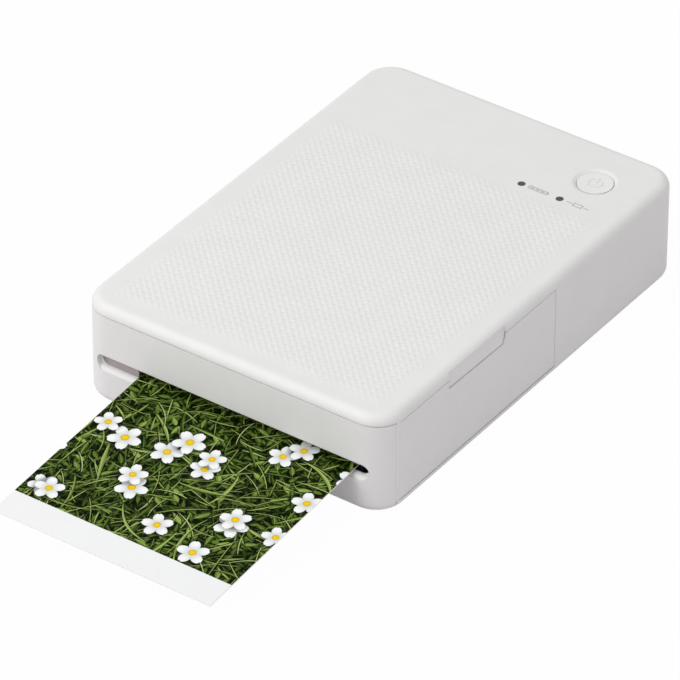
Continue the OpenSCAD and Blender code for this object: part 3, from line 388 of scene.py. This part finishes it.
def ink_film():
    """Ribbon film whose colour panels follow one another along its run, with painted shade along
    its creases.
    """
    material, place, shader = new_finish("ink_film")
    _, y, _ = place.xyz()
    panels_long = 48 * MM
    run = (y / panels_long + 0.35).fraction()
    stops = [
        (0.0, rgb(226, 190, 40)), (0.245, rgb(222, 184, 36)), (0.255, rgb(186, 44, 96)),
        (0.495, rgb(178, 40, 90)), (0.505, rgb(38, 110, 156)), (0.745, rgb(34, 104, 150)),
        (0.755, rgb(150, 142, 138)), (0.995, rgb(146, 138, 134)),
    ]
    panels = run.node("ShaderNodeValToRGB", {"stops": stops}, {0: run})
    crease = place.stretched((0.1, 1, 1)).noise(1.2 * MM, 3)
    place.feed(shader, {
        # Painted shade: the colour panels darken along the film's creases
        "Base Color": (0.3 * crease).blend(panels, rgb(60, 46, 52)),
        "Roughness": 0.2 + 0.15 * crease,
        "Coat Weight": 0.4,
        "Normal": crease.bump(0.02 * MM),
    })
    return material


def wound_film():
    """The wound ribbon: fine turns on the ends, a glossy dark outside."""
    material, place, shader = new_finish("wound_film")
    streak = place.stretched((0.15, 1, 1)).noise(0.5 * MM, 4)
    place.feed(shader, {
        "Base Color": streak.blend(rgb(40, 44, 58), rgb(84, 50, 60)),
        "Roughness": 0.24 + 0.12 * streak,
        "Coat Weight": 0.3,
        "Normal": streak.bump(0.01 * MM),
    })
    return material


def circuit_board():
    """Green solder mask over faint copper tracks, with tinned pads."""
    material, place, shader = new_finish("circuit_board")
    x, y, _ = place.xyz()
    settings = {"voronoi_dimensions": "2D", "distance": "CHEBYCHEV"}
    sockets = {"Vector": place, "Scale": 1 / (7 * MM), "Randomness": 0.7}
    patch = place.node("ShaderNodeTexVoronoi", settings, sockets)
    chance = patch.out("Color").xyz()[0]
    pitch = 1.1 * MM
    along_x = abs((y / pitch).fraction() - 0.5).ease(0.22, 0.14)
    along_y = abs((x / pitch).fraction() - 0.5).ease(0.22, 0.14)
    turned = chance.ease(0.49, 0.51)
    track = turned * along_x + (1 - turned) * along_y
    pad = patch.ease(0.07, 0.06) * chance.ease(0.3, 0.31)
    mask = place.noise(1.5 * MM, 3).blend(rgb(22, 84, 56), rgb(16, 70, 46))
    colour = track.blend(mask, rgb(34, 108, 72))
    place.feed(shader, {
        "Base Color": pad.blend(colour, rgb(206, 204, 196)),
        "Metallic": pad,
        "Roughness": 0.28 + 0.1 * track,
        "Normal": track.bump(0.02 * MM),
    })
    return material


def battery_wrap():
    """Dark shrink wrap with a lighter insulating band at each end."""
    material, place, shader = new_finish("battery_wrap")
    low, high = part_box("battery")
    x, _, _ = place.xyz()
    middle = (low.x + high.x) / 2
    half = (high.x - low.x) / 2
    end = abs(x - middle).ease(half - 5.2 * MM, half - 5 * MM)
    wrinkle = place.stretched((1, 0.3, 1)).noise(4 * MM, 4)
    dark = wrinkle.blend(rgb(46, 48, 54), rgb(36, 38, 43))
    place.feed(shader, {
        "Base Color": end.blend(dark, rgb(176, 140, 60)),
        "Roughness": 0.3 + 0.2 * wrinkle,
        "Normal": wrinkle.bump(0.05 * MM),
    })
    return material


def smoked_window():
    """Dark smoked lens of a light that is off."""
    material, place, shader = new_finish("smoked_window")
    cloud = place.noise(0.8 * MM, 2)
    place.feed(shader, {
        "Base Color": cloud.blend(rgb(46, 44, 50), rgb(62, 60, 66)),
        "Roughness": 0.12 + 0.1 * cloud,
        "Normal": cloud.bump(0.004 * MM),
    })
    return material


def label_ink():
    """Pale grey pad-printed ink."""
    material, place, shader = new_finish("label_ink")
    grain = place.noise(0.15 * MM, 2)
    place.feed(shader, {
        "Base Color": grain.blend(rgb(172, 172, 173), rgb(184, 184, 184)),
        "Roughness": 0.5 + 0.1 * grain,
        "Normal": grain.bump(0.003 * MM),
    })
    return material


def scatter(place, pitch, jitter, shift):
    """The place round the nearest of scattered spots, turned at random, and its three chances."""
    moved = place.moved((shift[0], shift[1], 0))
    sockets = {"Vector": moved, "Scale": 1 / pitch, "Randomness": jitter}
    spots = moved.node("ShaderNodeTexVoronoi", {"voronoi_dimensions": "2D"}, sockets)
    chances = spots.out("Color").xyz()
    sockets = {0: moved, 1: spots.out("Position")}
    apart = moved.node("ShaderNodeVectorMath", {"operation": "SUBTRACT"}, sockets)
    sockets = {"Vector": apart, "Angle": chances[1] * math.tau}
    turned = apart.node("ShaderNodeVectorRotate", {"rotation_type": "Z_AXIS"}, sockets)
    across, along, _ = turned.xyz()
    return across, along, chances


def leaves(place, under, pitch, shift, half, wide, tones):
    """A layer of scattered leaves, each folded along its midrib, with a soft shadow."""
    a, b, chances = scatter(place, pitch, 0.9, shift)
    long = half * (0.75 + 0.4 * chances[0])
    taper = 1 - (a / long) * (a / long)
    width = wide * taper.most(0.0) * (1 + 0.35 * a / long)
    away = abs(b) / width.most(0.02 * MM)
    leaf = away.ease(1.06, 0.9)
    shadow = 0.85 * away.ease(2.0, 0.9)
    veins = ((abs(b) * 1.3 - a) * (math.tau / VEIN_PITCH)).sin()
    fold = b.ease(-FOLD_HALF, FOLD_HALF)
    lit = 0.9 * chances[2] + 0.12 * veins + 0.35 * fold - 0.1
    rib = abs(b).ease(*RIB_HALF)
    colour = lit.ease(0.0, 1.0).blend(tones[0], tones[1])
    colour = (0.7 * rib).blend(colour, tones[2])
    shaded = shadow.blend(under, rgb(3, 9, 0))
    return leaf.blend(shaded, colour)


def stems(place, under, pitch, shift, tones, wide=0.3 * MM):
    """A layer of long thin stems and blades, slightly bowed, with a thin shadow beside each."""
    a, b, chances = scatter(place, pitch, 0.85, shift)
    bowed = b + a * a * (chances[0] - 0.5) * STEM_BOW
    reach = abs(a).ease(0.55 * pitch, 0.45 * pitch)
    width = STEM_THIN + wide * chances[2] * (1 - abs(a) / (0.56 * pitch)).most(0.0)
    blade = (abs(bowed) / width).ease(1.15, 0.85) * reach
    dark = abs(bowed + 0.2 * MM) / (width + 0.15 * MM)
    shadow = 0.8 * dark.ease(1.3, 0.5) * reach
    side = (bowed / width).ease(-0.5, 0.5)
    shaded = shadow.blend(under, rgb(4, 10, 0))
    return blade.blend(shaded, (0.5 * chances[0] + 0.5 * side).blend(tones[0], tones[1]))


def blossoms(place, under, pitch, shift, share):
    """A layer of five-petalled white blossoms with yellow hearts, on a share of the spots."""
    a, b, chances = scatter(place, pitch, 0.55, shift)
    size = MM * (4.1 + 1.0 * chances[0])
    there = chances[2].maths("LESS_THAN", chances[2], share)
    r = (a * a + b * b).root() / size
    turn = r.maths("ARCTAN2", b, a) * (PETALS / math.tau) + 2 * PETALS
    swing = (turn.fraction() - 0.5) * (math.tau / PETALS)
    along = r * swing.cos()
    across = r * swing.sin()
    ripple = place.noise(0.5 * MM, 3)
    down = (along - 0.58) / 0.43
    over = across / 0.335
    edge = down * down + over * over
    tip = along - 1.02
    notch = (tip * tip + across * across).root().ease(0.05, 0.09)
    petal = (edge + 0.12 * (ripple - 0.5)).ease(1.04, 0.94) * there * notch
    shade = r.ease(0.75, 0.16)
    grooves = 0.5 + 0.5 * (across * 60).sin()
    fold = abs(across).ease(0.10, 0.34)
    grey = (0.55 * shade + 0.16 * grooves * (1 - r).most(0.0) + 0.30 * fold).least(1.0)
    petal_colour = grey.blend(rgb(250, 250, 252), rgb(186, 196, 190))
    drop = r.ease(1.28, 0.8) * there
    ground = (0.62 * drop).blend(under, rgb(6, 14, 4))
    picture = petal.blend(ground, petal_colour)
    heart = (r + 0.05 * (ripple - 0.5)).ease(0.27, 0.23) * there
    grains = place.noise(0.35 * MM, 2).ease(0.35, 0.65)
    depth = 0.55 * r.ease(0.12, 0.26) + 0.35 * grains
    return heart.blend(picture, depth.blend(rgb(250, 218, 40), rgb(196, 138, 12)))


def shaded_clumps(place, under):
    """Broad patches of shade over a picture."""
    clump = place.noise(16 * MM, 2).ease(0.56, 0.3)
    return (0.55 * clump).blend(under, rgb(3, 9, 0))


def print_picture(place):
    """White blossoms over layered leaves and stems, in the greens of a shaded bank."""
    ground = place.noise(0.9 * MM, 4).ease(0.4, 0.75)
    picture = ground.blend(rgb(2, 8, 0), rgb(40, 54, 14))
    deep = (rgb(8, 22, 0), rgb(50, 72, 20), rgb(74, 96, 40))
    middle = (rgb(28, 48, 4), rgb(96, 122, 46), rgb(132, 154, 84))
    fresh = (rgb(58, 86, 16), rgb(142, 168, 78), rgb(176, 196, 124))
    dull_blade = (rgb(34, 54, 8), rgb(108, 132, 58))
    blade = (rgb(78, 106, 26), rgb(176, 196, 112))
    pale_blade = (rgb(120, 142, 62), rgb(196, 210, 140))
    # Each layer: what paints it, the pitch and the shift of its spots, then that painter's own
    layers = [
        (leaves, 2.6 * MM, (0.013, 0.007), 1.9 * MM, 0.55 * MM, deep),
        (leaves, 3.0 * MM, (0.051, 0.022), 2.1 * MM, 0.6 * MM, middle),
        (stems, 5.0 * MM, (0.021, 0.067), dull_blade),
        (leaves, 4.4 * MM, (0.027, 0.041), 2.2 * MM, 0.7 * MM, middle),
        (stems, 8.0 * MM, (0.031, 0.017), dull_blade, 0.4 * MM),
        (leaves, 6.4 * MM, (0.083, 0.012), 2.3 * MM, 0.75 * MM, fresh),
        (shaded_clumps,),
        (stems, 7.0 * MM, (0.067, 0.059), blade, 0.3 * MM),
        (stems, 10.0 * MM, (0.011, 0.093), dull_blade, 0.5 * MM),
        (stems, 9.0 * MM, (0.039, 0.029), pale_blade, 0.1 * MM),
        (stems, 14.0 * MM, (0.007, 0.031), blade, 0.55 * MM),
        (stems, 11.0 * MM, (0.047, 0.071), pale_blade, 0.14 * MM),
        (stems, 17.0 * MM, (0.061, 0.013), blade, 0.6 * MM),
        (blossoms, 15.5 * MM, (0.012, 0.004), 0.42),
        (blossoms, 16.5 * MM, (0.044, 0.027), 0.36),
    ]
    for paint, *how in layers:
        picture = paint(place, picture, *how)
    return picture


def print_face():
    """The glossy printed side of the sheet, with its bare white tab."""
    material, place, shader = new_finish("print_face")
    _, y, _ = place.xyz()
    picture = print_picture(place.stretched((1, 1, 0)))
    tab = y.ease(TAB_EDGE_Y + TAB_EDGE_SOFT, TAB_EDGE_Y - TAB_EDGE_SOFT)
    sheen = place.noise(6 * MM, 2)
    bare = sheen.blend(rgb(243, 244, 244), rgb(240, 240, 240))
    place.feed(shader, {
        "Base Color": tab.blend(picture, bare),
        "Roughness": 0.34 + 0.06 * sheen,
        "Normal": sheen.bump(0.01 * MM),
        "Specular IOR Level": 0.02,
    })
    return material


def print_back():
    """The plain backing of the sheet."""
    material, place, shader = new_finish("print_back")
    fibre = place.noise(0.5 * MM, 4)
    place.feed(shader, {
        "Base Color": fibre.blend(rgb(240, 240, 239), rgb(232, 232, 231)),
        "Roughness": 0.5 + 0.2 * fibre,
        "Normal": fibre.bump(0.006 * MM),
    })
    return material


def piece(name, mesh_builder, body, slot, *materials):
    """Makes a piece from a bmesh, gives it its finishes and hangs it on a body."""
    mesh = bpy.data.meshes.new(name)
    mesh_builder.to_mesh(mesh)
    mesh_builder.free()
    made = bpy.data.objects.new(name, mesh)
    bpy.context.scene.collection.objects.link(made)
    for material in materials:
        mesh.materials.append(material)
    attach(made, body)
    return made


def fitted(x, y, middle_z, high=1):
    """The matrix that fits a unit shape between two ends in x and y, at a height."""
    middle = Vector((sum(x) / 2, sum(y) / 2, middle_z))
    size = Matrix.Diagonal((x[1] - x[0], y[1] - y[0], high, 1))
    return Matrix.Translation(middle) @ size


def add_plate(bm, x, y, z):
    """Adds a thin straight-edged plate to a bmesh, between its ends."""
    bmesh.ops.create_cube(bm, size=1, matrix=fitted(x, y, sum(z) / 2, z[1] - z[0]))


def add_grid(bm, steps, x, y, z):
    """Adds a flat grid to a bmesh, between its ends at one height."""
    bmesh.ops.create_grid(bm, x_segments=steps[0], y_segments=steps[1], size=0.5,
                          matrix=fitted(x, y, z))


def raise_copy(bm, height):
    """Turns the open faces of a bmesh into a slab, by raising a copy of them."""
    risen = bmesh.ops.extrude_face_region(bm, geom=list(bm.faces), use_keep_orig=True)["geom"]
    for item in risen:
        if isinstance(item, bmesh.types.BMVert):
            item.co.z += height


def break_edges(bm, width, segments):
    """Bevels the edges of a bmesh that turn by more than one radian."""
    bmesh.ops.recalc_face_normals(bm, faces=bm.faces)
    sharp = [edge for edge in bm.edges if edge.calc_face_angle(0) > 1]
    bmesh.ops.bevel(bm, geom=sharp, offset=width, offset_type="OFFSET", segments=segments,
                    profile=0.5, affect="EDGES", material=-1)


def relief_height(x, y):
    """Height of the lid's relief, a square lattice of small pillows and pits that fades out."""
    u = math.tau * (x + RELIEF_SHIFT[0]) / RELIEF_PITCH[0]
    v = math.tau * (y + RELIEF_SHIFT[1]) / RELIEF_PITCH[1]
    pillows = -3.3 * math.cos(u) * math.cos(v)
    bands = (1.0 * math.cos(u) - 0.4 * math.sin(u)
             - 0.6 * math.cos(v) - 0.3 * math.sin(v))
    ripples = 0.34 * math.cos(2 * u + v) - 0.3 * math.sin(2 * u)
    lattice = (pillows + bands + ripples + 4) / 10
    border = min(x - RELIEF_X[0], RELIEF_X[1] - x, y - RELIEF_Y[0], RELIEF_Y[1] - y)
    share = min(max(border / RELIEF_FADE, 0), 1)
    fade = share * share * (3 - 2 * share)
    return fade * (RELIEF_FLOOR + RELIEF_HEIGHT * lattice) - RELIEF_RIM_SUNK * (1 - fade)


def make_relief(material):
    """The relief on the lid, a thin skin let into the top of the case."""
    across = round((RELIEF_X[1] - RELIEF_X[0]) / RELIEF_PITCH[0] * RELIEF_CELL_STEPS)
    along = round((RELIEF_Y[1] - RELIEF_Y[0]) / RELIEF_PITCH[1] * RELIEF_CELL_STEPS)
    bm = bmesh.new()
    add_grid(bm, (across, along), RELIEF_X, RELIEF_Y, TOP_Z)
    for vert in bm.verts:
        vert.co.z += relief_height(vert.co.x, vert.co.y)
    for face in bm.faces:
        face.smooth = True
    rim = [edge for edge in bm.edges if edge.is_boundary]
    for item in bmesh.ops.extrude_edge_only(bm, edges=rim)["geom"]:
        if isinstance(item, bmesh.types.BMVert):
            item.co.z = TOP_Z - RELIEF_SKIRT
        elif isinstance(item, bmesh.types.BMFace):
            item.smooth = False
    low_rim = [edge for edge in bm.edges if edge.is_boundary]
    bmesh.ops.holes_fill(bm, edges=low_rim, sides=0)
    bmesh.ops.recalc_face_normals(bm, faces=bm.faces)
    piece("lid_relief", bm, "case", "white_plastic", material)


def make_sheet(face, back):
    """The print half way out of the slot, straight as the rollers hold it, on its path's slope."""
    bm = bmesh.new()
    add_grid(bm, (12, 14), SHEET_X, (SHEET_FRONT_Y, SHEET_BACK_Y), 0)
    for vert in bm.verts:
        along = vert.co.y - FACE_Y
        vert.co.z = SHEET_Z_AT_FACE + along * math.tan(SHEET_TILT) - SHEET_THICK / 2
    raise_copy(bm, SHEET_THICK)
    break_edges(bm, SHEET_EDGE_ROUND, 1)
    for item in bm.faces:
        printed = item.normal.z > 0.9
        item.material_index = 0 if printed else 1
    sheet = piece("print_sheet", bm, "print", "print", face, back)
    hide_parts("printed_sheet")


def make_power_symbol(material):
    """A plain power symbol raised on the key: an open ring and a bar."""
    radius = 2.05 * MM
    half = 0.21 * MM
    bar_y = (KEY_MIDDLE.y + 0.35 * MM, KEY_MIDDLE.y + 2.65 * MM)
    low = KEY_FACE_Z - 0.02 * MM
    high = KEY_FACE_Z + 0.10 * MM
    opening = math.radians(38)
    bm = bmesh.new()
    corners = [(radius - half, low), (radius + half, low),
               (radius + half, high), (radius - half, high)]
    start = Matrix.Rotation(math.pi / 2 + opening, 4, "Z")
    verts = [bm.verts.new(KEY_MIDDLE + start @ Vector((r, 0, z))) for r, z in corners]
    bmesh.ops.spin(bm, geom=[bm.faces.new(verts)], cent=KEY_MIDDLE, axis=(0, 0, 1),
                   angle=math.tau - 2 * opening, steps=56)
    add_plate(bm, (KEY_MIDDLE.x - half, KEY_MIDDLE.x + half), bar_y, (low, high))
    break_edges(bm, 0.03 * MM, 2)
    piece("power_symbol", bm, "power_key", "white_plastic", material)


def make_parting_lip(material):
    """The lip behind the parting line round the front of the case, and down its left seam."""
    past = 0.04 * MM
    deep = PARTING_LIP_DEEP
    bm = bmesh.new()
    add_grid(bm, (1, 1), (deep - SIDE_X, SIDE_X - deep), (FACE_Y + deep, -FACE_Y - deep),
             PARTING_Z - past)
    bmesh.ops.bevel(bm, geom=list(bm.verts), offset=CORNER_R - deep, offset_type="OFFSET",
                    segments=16, profile=0.5, affect="VERTICES", material=-1)
    plan = list(bm.faces)
    bmesh.ops.inset_region(bm, faces=plan, thickness=LIP_THICK, use_even_offset=True)
    bmesh.ops.delete(bm, geom=plan, context="FACES")
    raise_copy(bm, SEAM + 2 * past)
    ring = list(bm.verts) + list(bm.edges) + list(bm.faces)
    ring_end = (0, COVER_Y[0] + 0.1 * MM, 0)
    cut = bmesh.ops.bisect_plane(bm, geom=ring, clear_outer=True, plane_no=(0, 1, 0),
                                 plane_co=ring_end)["geom_cut"]
    ends = [item for item in cut if isinstance(item, bmesh.types.BMEdge)]
    bmesh.ops.holes_fill(bm, edges=ends, sides=0)
    outer = LIP_DEEP - SIDE_X
    add_plate(bm, (outer, outer + LIP_THICK), (COVER_Y[0] - past, COVER_Y[0] + SEAM + past),
              (COVER_LOW_Z, PARTING_Z + SEAM))
    bmesh.ops.recalc_face_normals(bm, faces=bm.faces)
    piece("parting_lip", bm, "case", "white_plastic", material)


def make_cover_lips(material):
    """Lips that close the side cover's seams from behind: four on the case, one on the cover."""
    outer = SIDE_X - LIP_DEEP
    clear = 0.05 * MM
    wall = (outer - LIP_THICK, outer)
    top_z = (PARTING_Z + clear, PARTING_Z + SEAM + clear)
    side_z = (COVER_LOW_Z - SEAM, PARTING_Z)
    bm = bmesh.new()
    add_plate(bm, wall, (COVER_Y[0], NOTCH_Y[0] - 2 * SEAM), top_z)
    add_plate(bm, wall, (NOTCH_Y[1] + 2 * SEAM, COVER_Y[1] + SEAM), top_z)
    add_plate(bm, wall, (COVER_Y[0] - clear, COVER_Y[0] + SEAM - clear), side_z)
    add_plate(bm, wall, (COVER_Y[1] + clear, COVER_Y[1] + SEAM + clear), side_z)
    piece("cover_frame_lip", bm, "case", "white_plastic", material)
    bm = bmesh.new()
    add_plate(bm, (outer - 0.4 * MM, outer), (COVER_Y[0] + SEAM, COVER_Y[1]),
              (COVER_LOW_Z - 0.17 * MM, COVER_LOW_Z + clear))
    piece("cover_lower_lip", bm, "side_cover", "white_plastic", material)


def make_light_labels(ink):
    """Small printed pictograms beside the lights: a battery, and a sheet leaving a slot."""
    z = (TOP_Z - 0.02 * MM, TOP_Z + 0.03 * MM)
    line = 0.3 * MM
    tall = 1.6 * MM
    from_light = 2.4 * MM
    low_y = LIGHTS_Y - tall / 2
    bm = bmesh.new()

    def bar(x, wide, inset=0.0):
        """An upright bar, shorter than a label by an inset at each end."""
        add_plate(bm, (x, x + wide), (low_y + inset, low_y + tall - inset), z)

    def level_line(x, wide, y):
        add_plate(bm, (x, x + wide), (y, y + line), z)

    def outline(x, wide):
        level_line(x, wide, low_y)
        level_line(x, wide, low_y + tall - line)
        bar(x, line, line)
        bar(x + wide - line, line, line)

    battery_x = LIGHTS_X[0] + from_light
    battery_long = 6.2 * MM
    outline(battery_x, battery_long)
    bar(battery_x + battery_long, 0.5 * MM, 0.45 * MM)
    cell_pitch = 1.7 * MM
    for cell in range(3):
        bar(battery_x + 0.7 * MM + cell * cell_pitch, 1.3 * MM, 0.55 * MM)
    slot_x = LIGHTS_X[1] + from_light
    slot_long = 1.7 * MM
    middle_y = low_y + (tall - line) / 2
    level_line(slot_x, slot_long, middle_y)
    outline(slot_x + 2.1 * MM, 3.0 * MM)
    level_line(slot_x + 5.5 * MM, slot_long, middle_y)
    piece("light_labels", bm, "case", "light_window", ink)


def seen_directly(wire):
    """1 to the eye, to gloss and to glass, and 0 where a surface only lights others."""
    path = wire.node("ShaderNodeLightPath", out="Is Camera Ray")
    return path.most(path.out("Is Glossy Ray")).most(path.out("Is Transmission Ray"))


def pale_floor():
    """A pale floor that the eye sees near white, and that still keeps a soft shadow."""
    material, place, shader = new_finish("pale_floor")
    grain = place.noise(40 * MM, 2)
    place.feed(shader, {
        "Base Color": grain.blend(rgb(216, 209, 214), rgb(212, 205, 210)),
        "Roughness": 0.9,
        "Specular IOR Level": 0.0,
    })
    glow = place.node("ShaderNodeEmission", None, {"Color": (1, 1, 1, 1), "Strength": 1.0})
    plain = Wire(place.tree, shader.outputs[0])
    white_share = seen_directly(place) * FLOOR_WHITE_SHARE
    both = place.node("ShaderNodeMixShader", None, {0: white_share, 1: plain, 2: glow})
    place.feed(place.tree.nodes["Material Output"], {"Surface": both})
    return material


def make_floor():
    bm = bmesh.new()
    bmesh.ops.create_grid(bm, x_segments=4, y_segments=4, size=FLOOR_HALF)
    mesh = bpy.data.meshes.new("floor")
    bm.to_mesh(mesh)
    bm.free()
    floor = bpy.data.objects.new("floor", mesh)
    bpy.context.scene.collection.objects.link(floor)
    mesh.materials.append(pale_floor())


def make_world():
    """Even pale studio air: white to the eye, gentler as light."""
    world = bpy.data.worlds.new("studio_air")
    world.use_nodes = True
    bpy.context.scene.world = world
    wire = Wire(world.node_tree)
    strength = WORLD_LIGHT + (1 - WORLD_LIGHT) * seen_directly(wire)
    background = world.node_tree.nodes["Background"]
    wire.feed(background, {"Color": (1, 1, 1, 1), "Strength": strength})


def add_softbox(name, at, wide, tall, watts):
    """A large soft panel of light, aimed at the printer."""
    data = bpy.data.lights.new(name, "AREA")
    data.shape = "RECTANGLE"
    data.size = wide
    data.size_y = tall
    data.energy = watts
    lamp = bpy.data.objects.new(name, data)
    lamp.location = at
    lamp.rotation_mode = "QUATERNION"
    lamp.rotation_quaternion = (LAMP_AIM - Vector(at)).to_track_quat("-Z", "Y")
    bpy.context.scene.collection.objects.link(lamp)


def make_camera():
    """The photograph's view: its turn, rise, roll, distance and aim, found from the outline."""
    turn = math.radians(35.013)
    rise = math.radians(35.927)
    roll = math.radians(0.215)
    away = 1935.577 * MM
    aim_left = 12.196 * MM
    aim_down = 16.010 * MM
    level = Vector((math.cos(turn), math.sin(turn), 0))
    back = Vector((math.sin(turn) * math.cos(rise), -math.cos(turn) * math.cos(rise),
                   math.sin(rise)))
    upright = back.cross(level)
    right = level * math.cos(roll) + upright * math.sin(roll)
    up = upright * math.cos(roll) - level * math.sin(roll)
    middle = Vector((0, 0, TOP_Z / 2))
    at = middle - right * aim_left - up * aim_down + back * away
    data = bpy.data.cameras.new("camera")
    data.sensor_width = 36
    data.lens = 368.35
    data.clip_start = 0.1
    data.clip_end = 20
    camera = bpy.data.objects.new("camera", data)
    bpy.context.scene.collection.objects.link(camera)
    axes = Matrix((right, up, back)).transposed().to_4x4()
    camera.matrix_world = Matrix.Translation(at) @ axes
    bpy.context.scene.camera = camera


def dress(finish, *names):
    """Gives the solids of these names one finish."""
    for name in names:
        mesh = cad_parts[name].data
        mesh.materials.clear()
        mesh.materials.append(finish)


# The case, its covers and its lights
case_white = shell_white("case_white", 0.2 * MM)
key_plastic = key_white()
dress(case_white, "top_case")
dress(shell_white("cover_white", 0.5 * MM), "side_cover")
# The front panel carries painted shade inside its exit slot
dress(shell_white("front_white", 0.45 * MM, mouth_painted_shade), "front_panel")
dress(key_plastic, "power_key")
dress(base_grey(), "bottom_case", "paper_cover", "cover_latch")
dress(smoked_window(), "light_pipes", "light_sources")

# Plastic inside: the guides, the cassette and the gears
guide_grey = coarse_moulding("guide_grey", rgb(150, 146, 147), rgb(138, 134, 136), 0.45)
dark_moulding = coarse_moulding("dark_moulding", rgb(52, 53, 56), rgb(44, 45, 48), 0.48)
dress(guide_grey, "inner_frame", "front_guide", "rear_guide")
dress(dark_moulding, "cassette_case", "key_switch")
dress(nylon(), "roller_bushes", "exit_pulley", "platen_pulley", "capstan_pulley",
      "capstan_gear", "takeup_gear", "supply_core", "takeup_core")
dress(rubber(), "feet", "exit_roller", "platen_roller", "pickup_roller", "drive_belt",
      "exit_pinch", "capstan_pinch")

# Metal
ground_steel = brushed("ground_steel", rgb(212, 213, 216), rgb(186, 187, 190),
                       (0.6, 1, 1), 0.3)
plated_sheet = brushed("plated_sheet", rgb(206, 208, 210), rgb(178, 181, 184),
                       (1, 0.05, 1), 0.36)
drawn_aluminium = brushed("drawn_aluminium", rgb(222, 223, 226), rgb(196, 198, 202),
                          (0.04, 1, 1), 0.4)
turned_brass = brushed("turned_brass", rgb(216, 184, 108), rgb(186, 150, 82),
                       (0.5, 1, 1), 0.3)
dress(ground_steel, "case_screws", "side_cover_pin", "paper_cover_pin", "lift_springs",
      "exit_shaft", "platen_shaft", "capstan_shaft", "capstan_roller", "pickup_shaft",
      "feed_motor", "ribbon_motor", "head_pivot", "cam_shaft", "power_socket")
dress(plated_sheet, "left_chassis", "right_chassis", "top_bridge", "head_arm", "lift_plate")
dress(drawn_aluminium, "heat_sink")
dress(turned_brass, "feed_pinion", "ribbon_pinion")

# The head, the paper, the ribbon and the electrics
dress(head_glaze(), "head_strip")
dress(stacked_paper(), "paper_stack")
dress(ink_film(), "ribbon_film")
dress(wound_film(), "supply_roll", "takeup_roll")
dress(circuit_board(), "main_board")
dress(battery_wrap(), "battery")

# The fine details that the solids leave to this scene
make_relief(case_white)
lip_white = shell_white("lip_white")
make_parting_lip(lip_white)
make_cover_lips(lip_white)
make_sheet(print_face(), print_back())
make_power_symbol(key_plastic)
make_light_labels(label_ink())

# The studio
make_world()
make_floor()
add_softbox("key_panel", at=(-0.50, -0.78, 1.02), wide=1.2, tall=1.2, watts=10.8)
add_softbox("side_panel", at=(1.2, -0.3, 0.5), wide=0.8, tall=0.6, watts=1.2)
make_camera()
bpy.context.scene.view_settings.view_transform = "Standard"
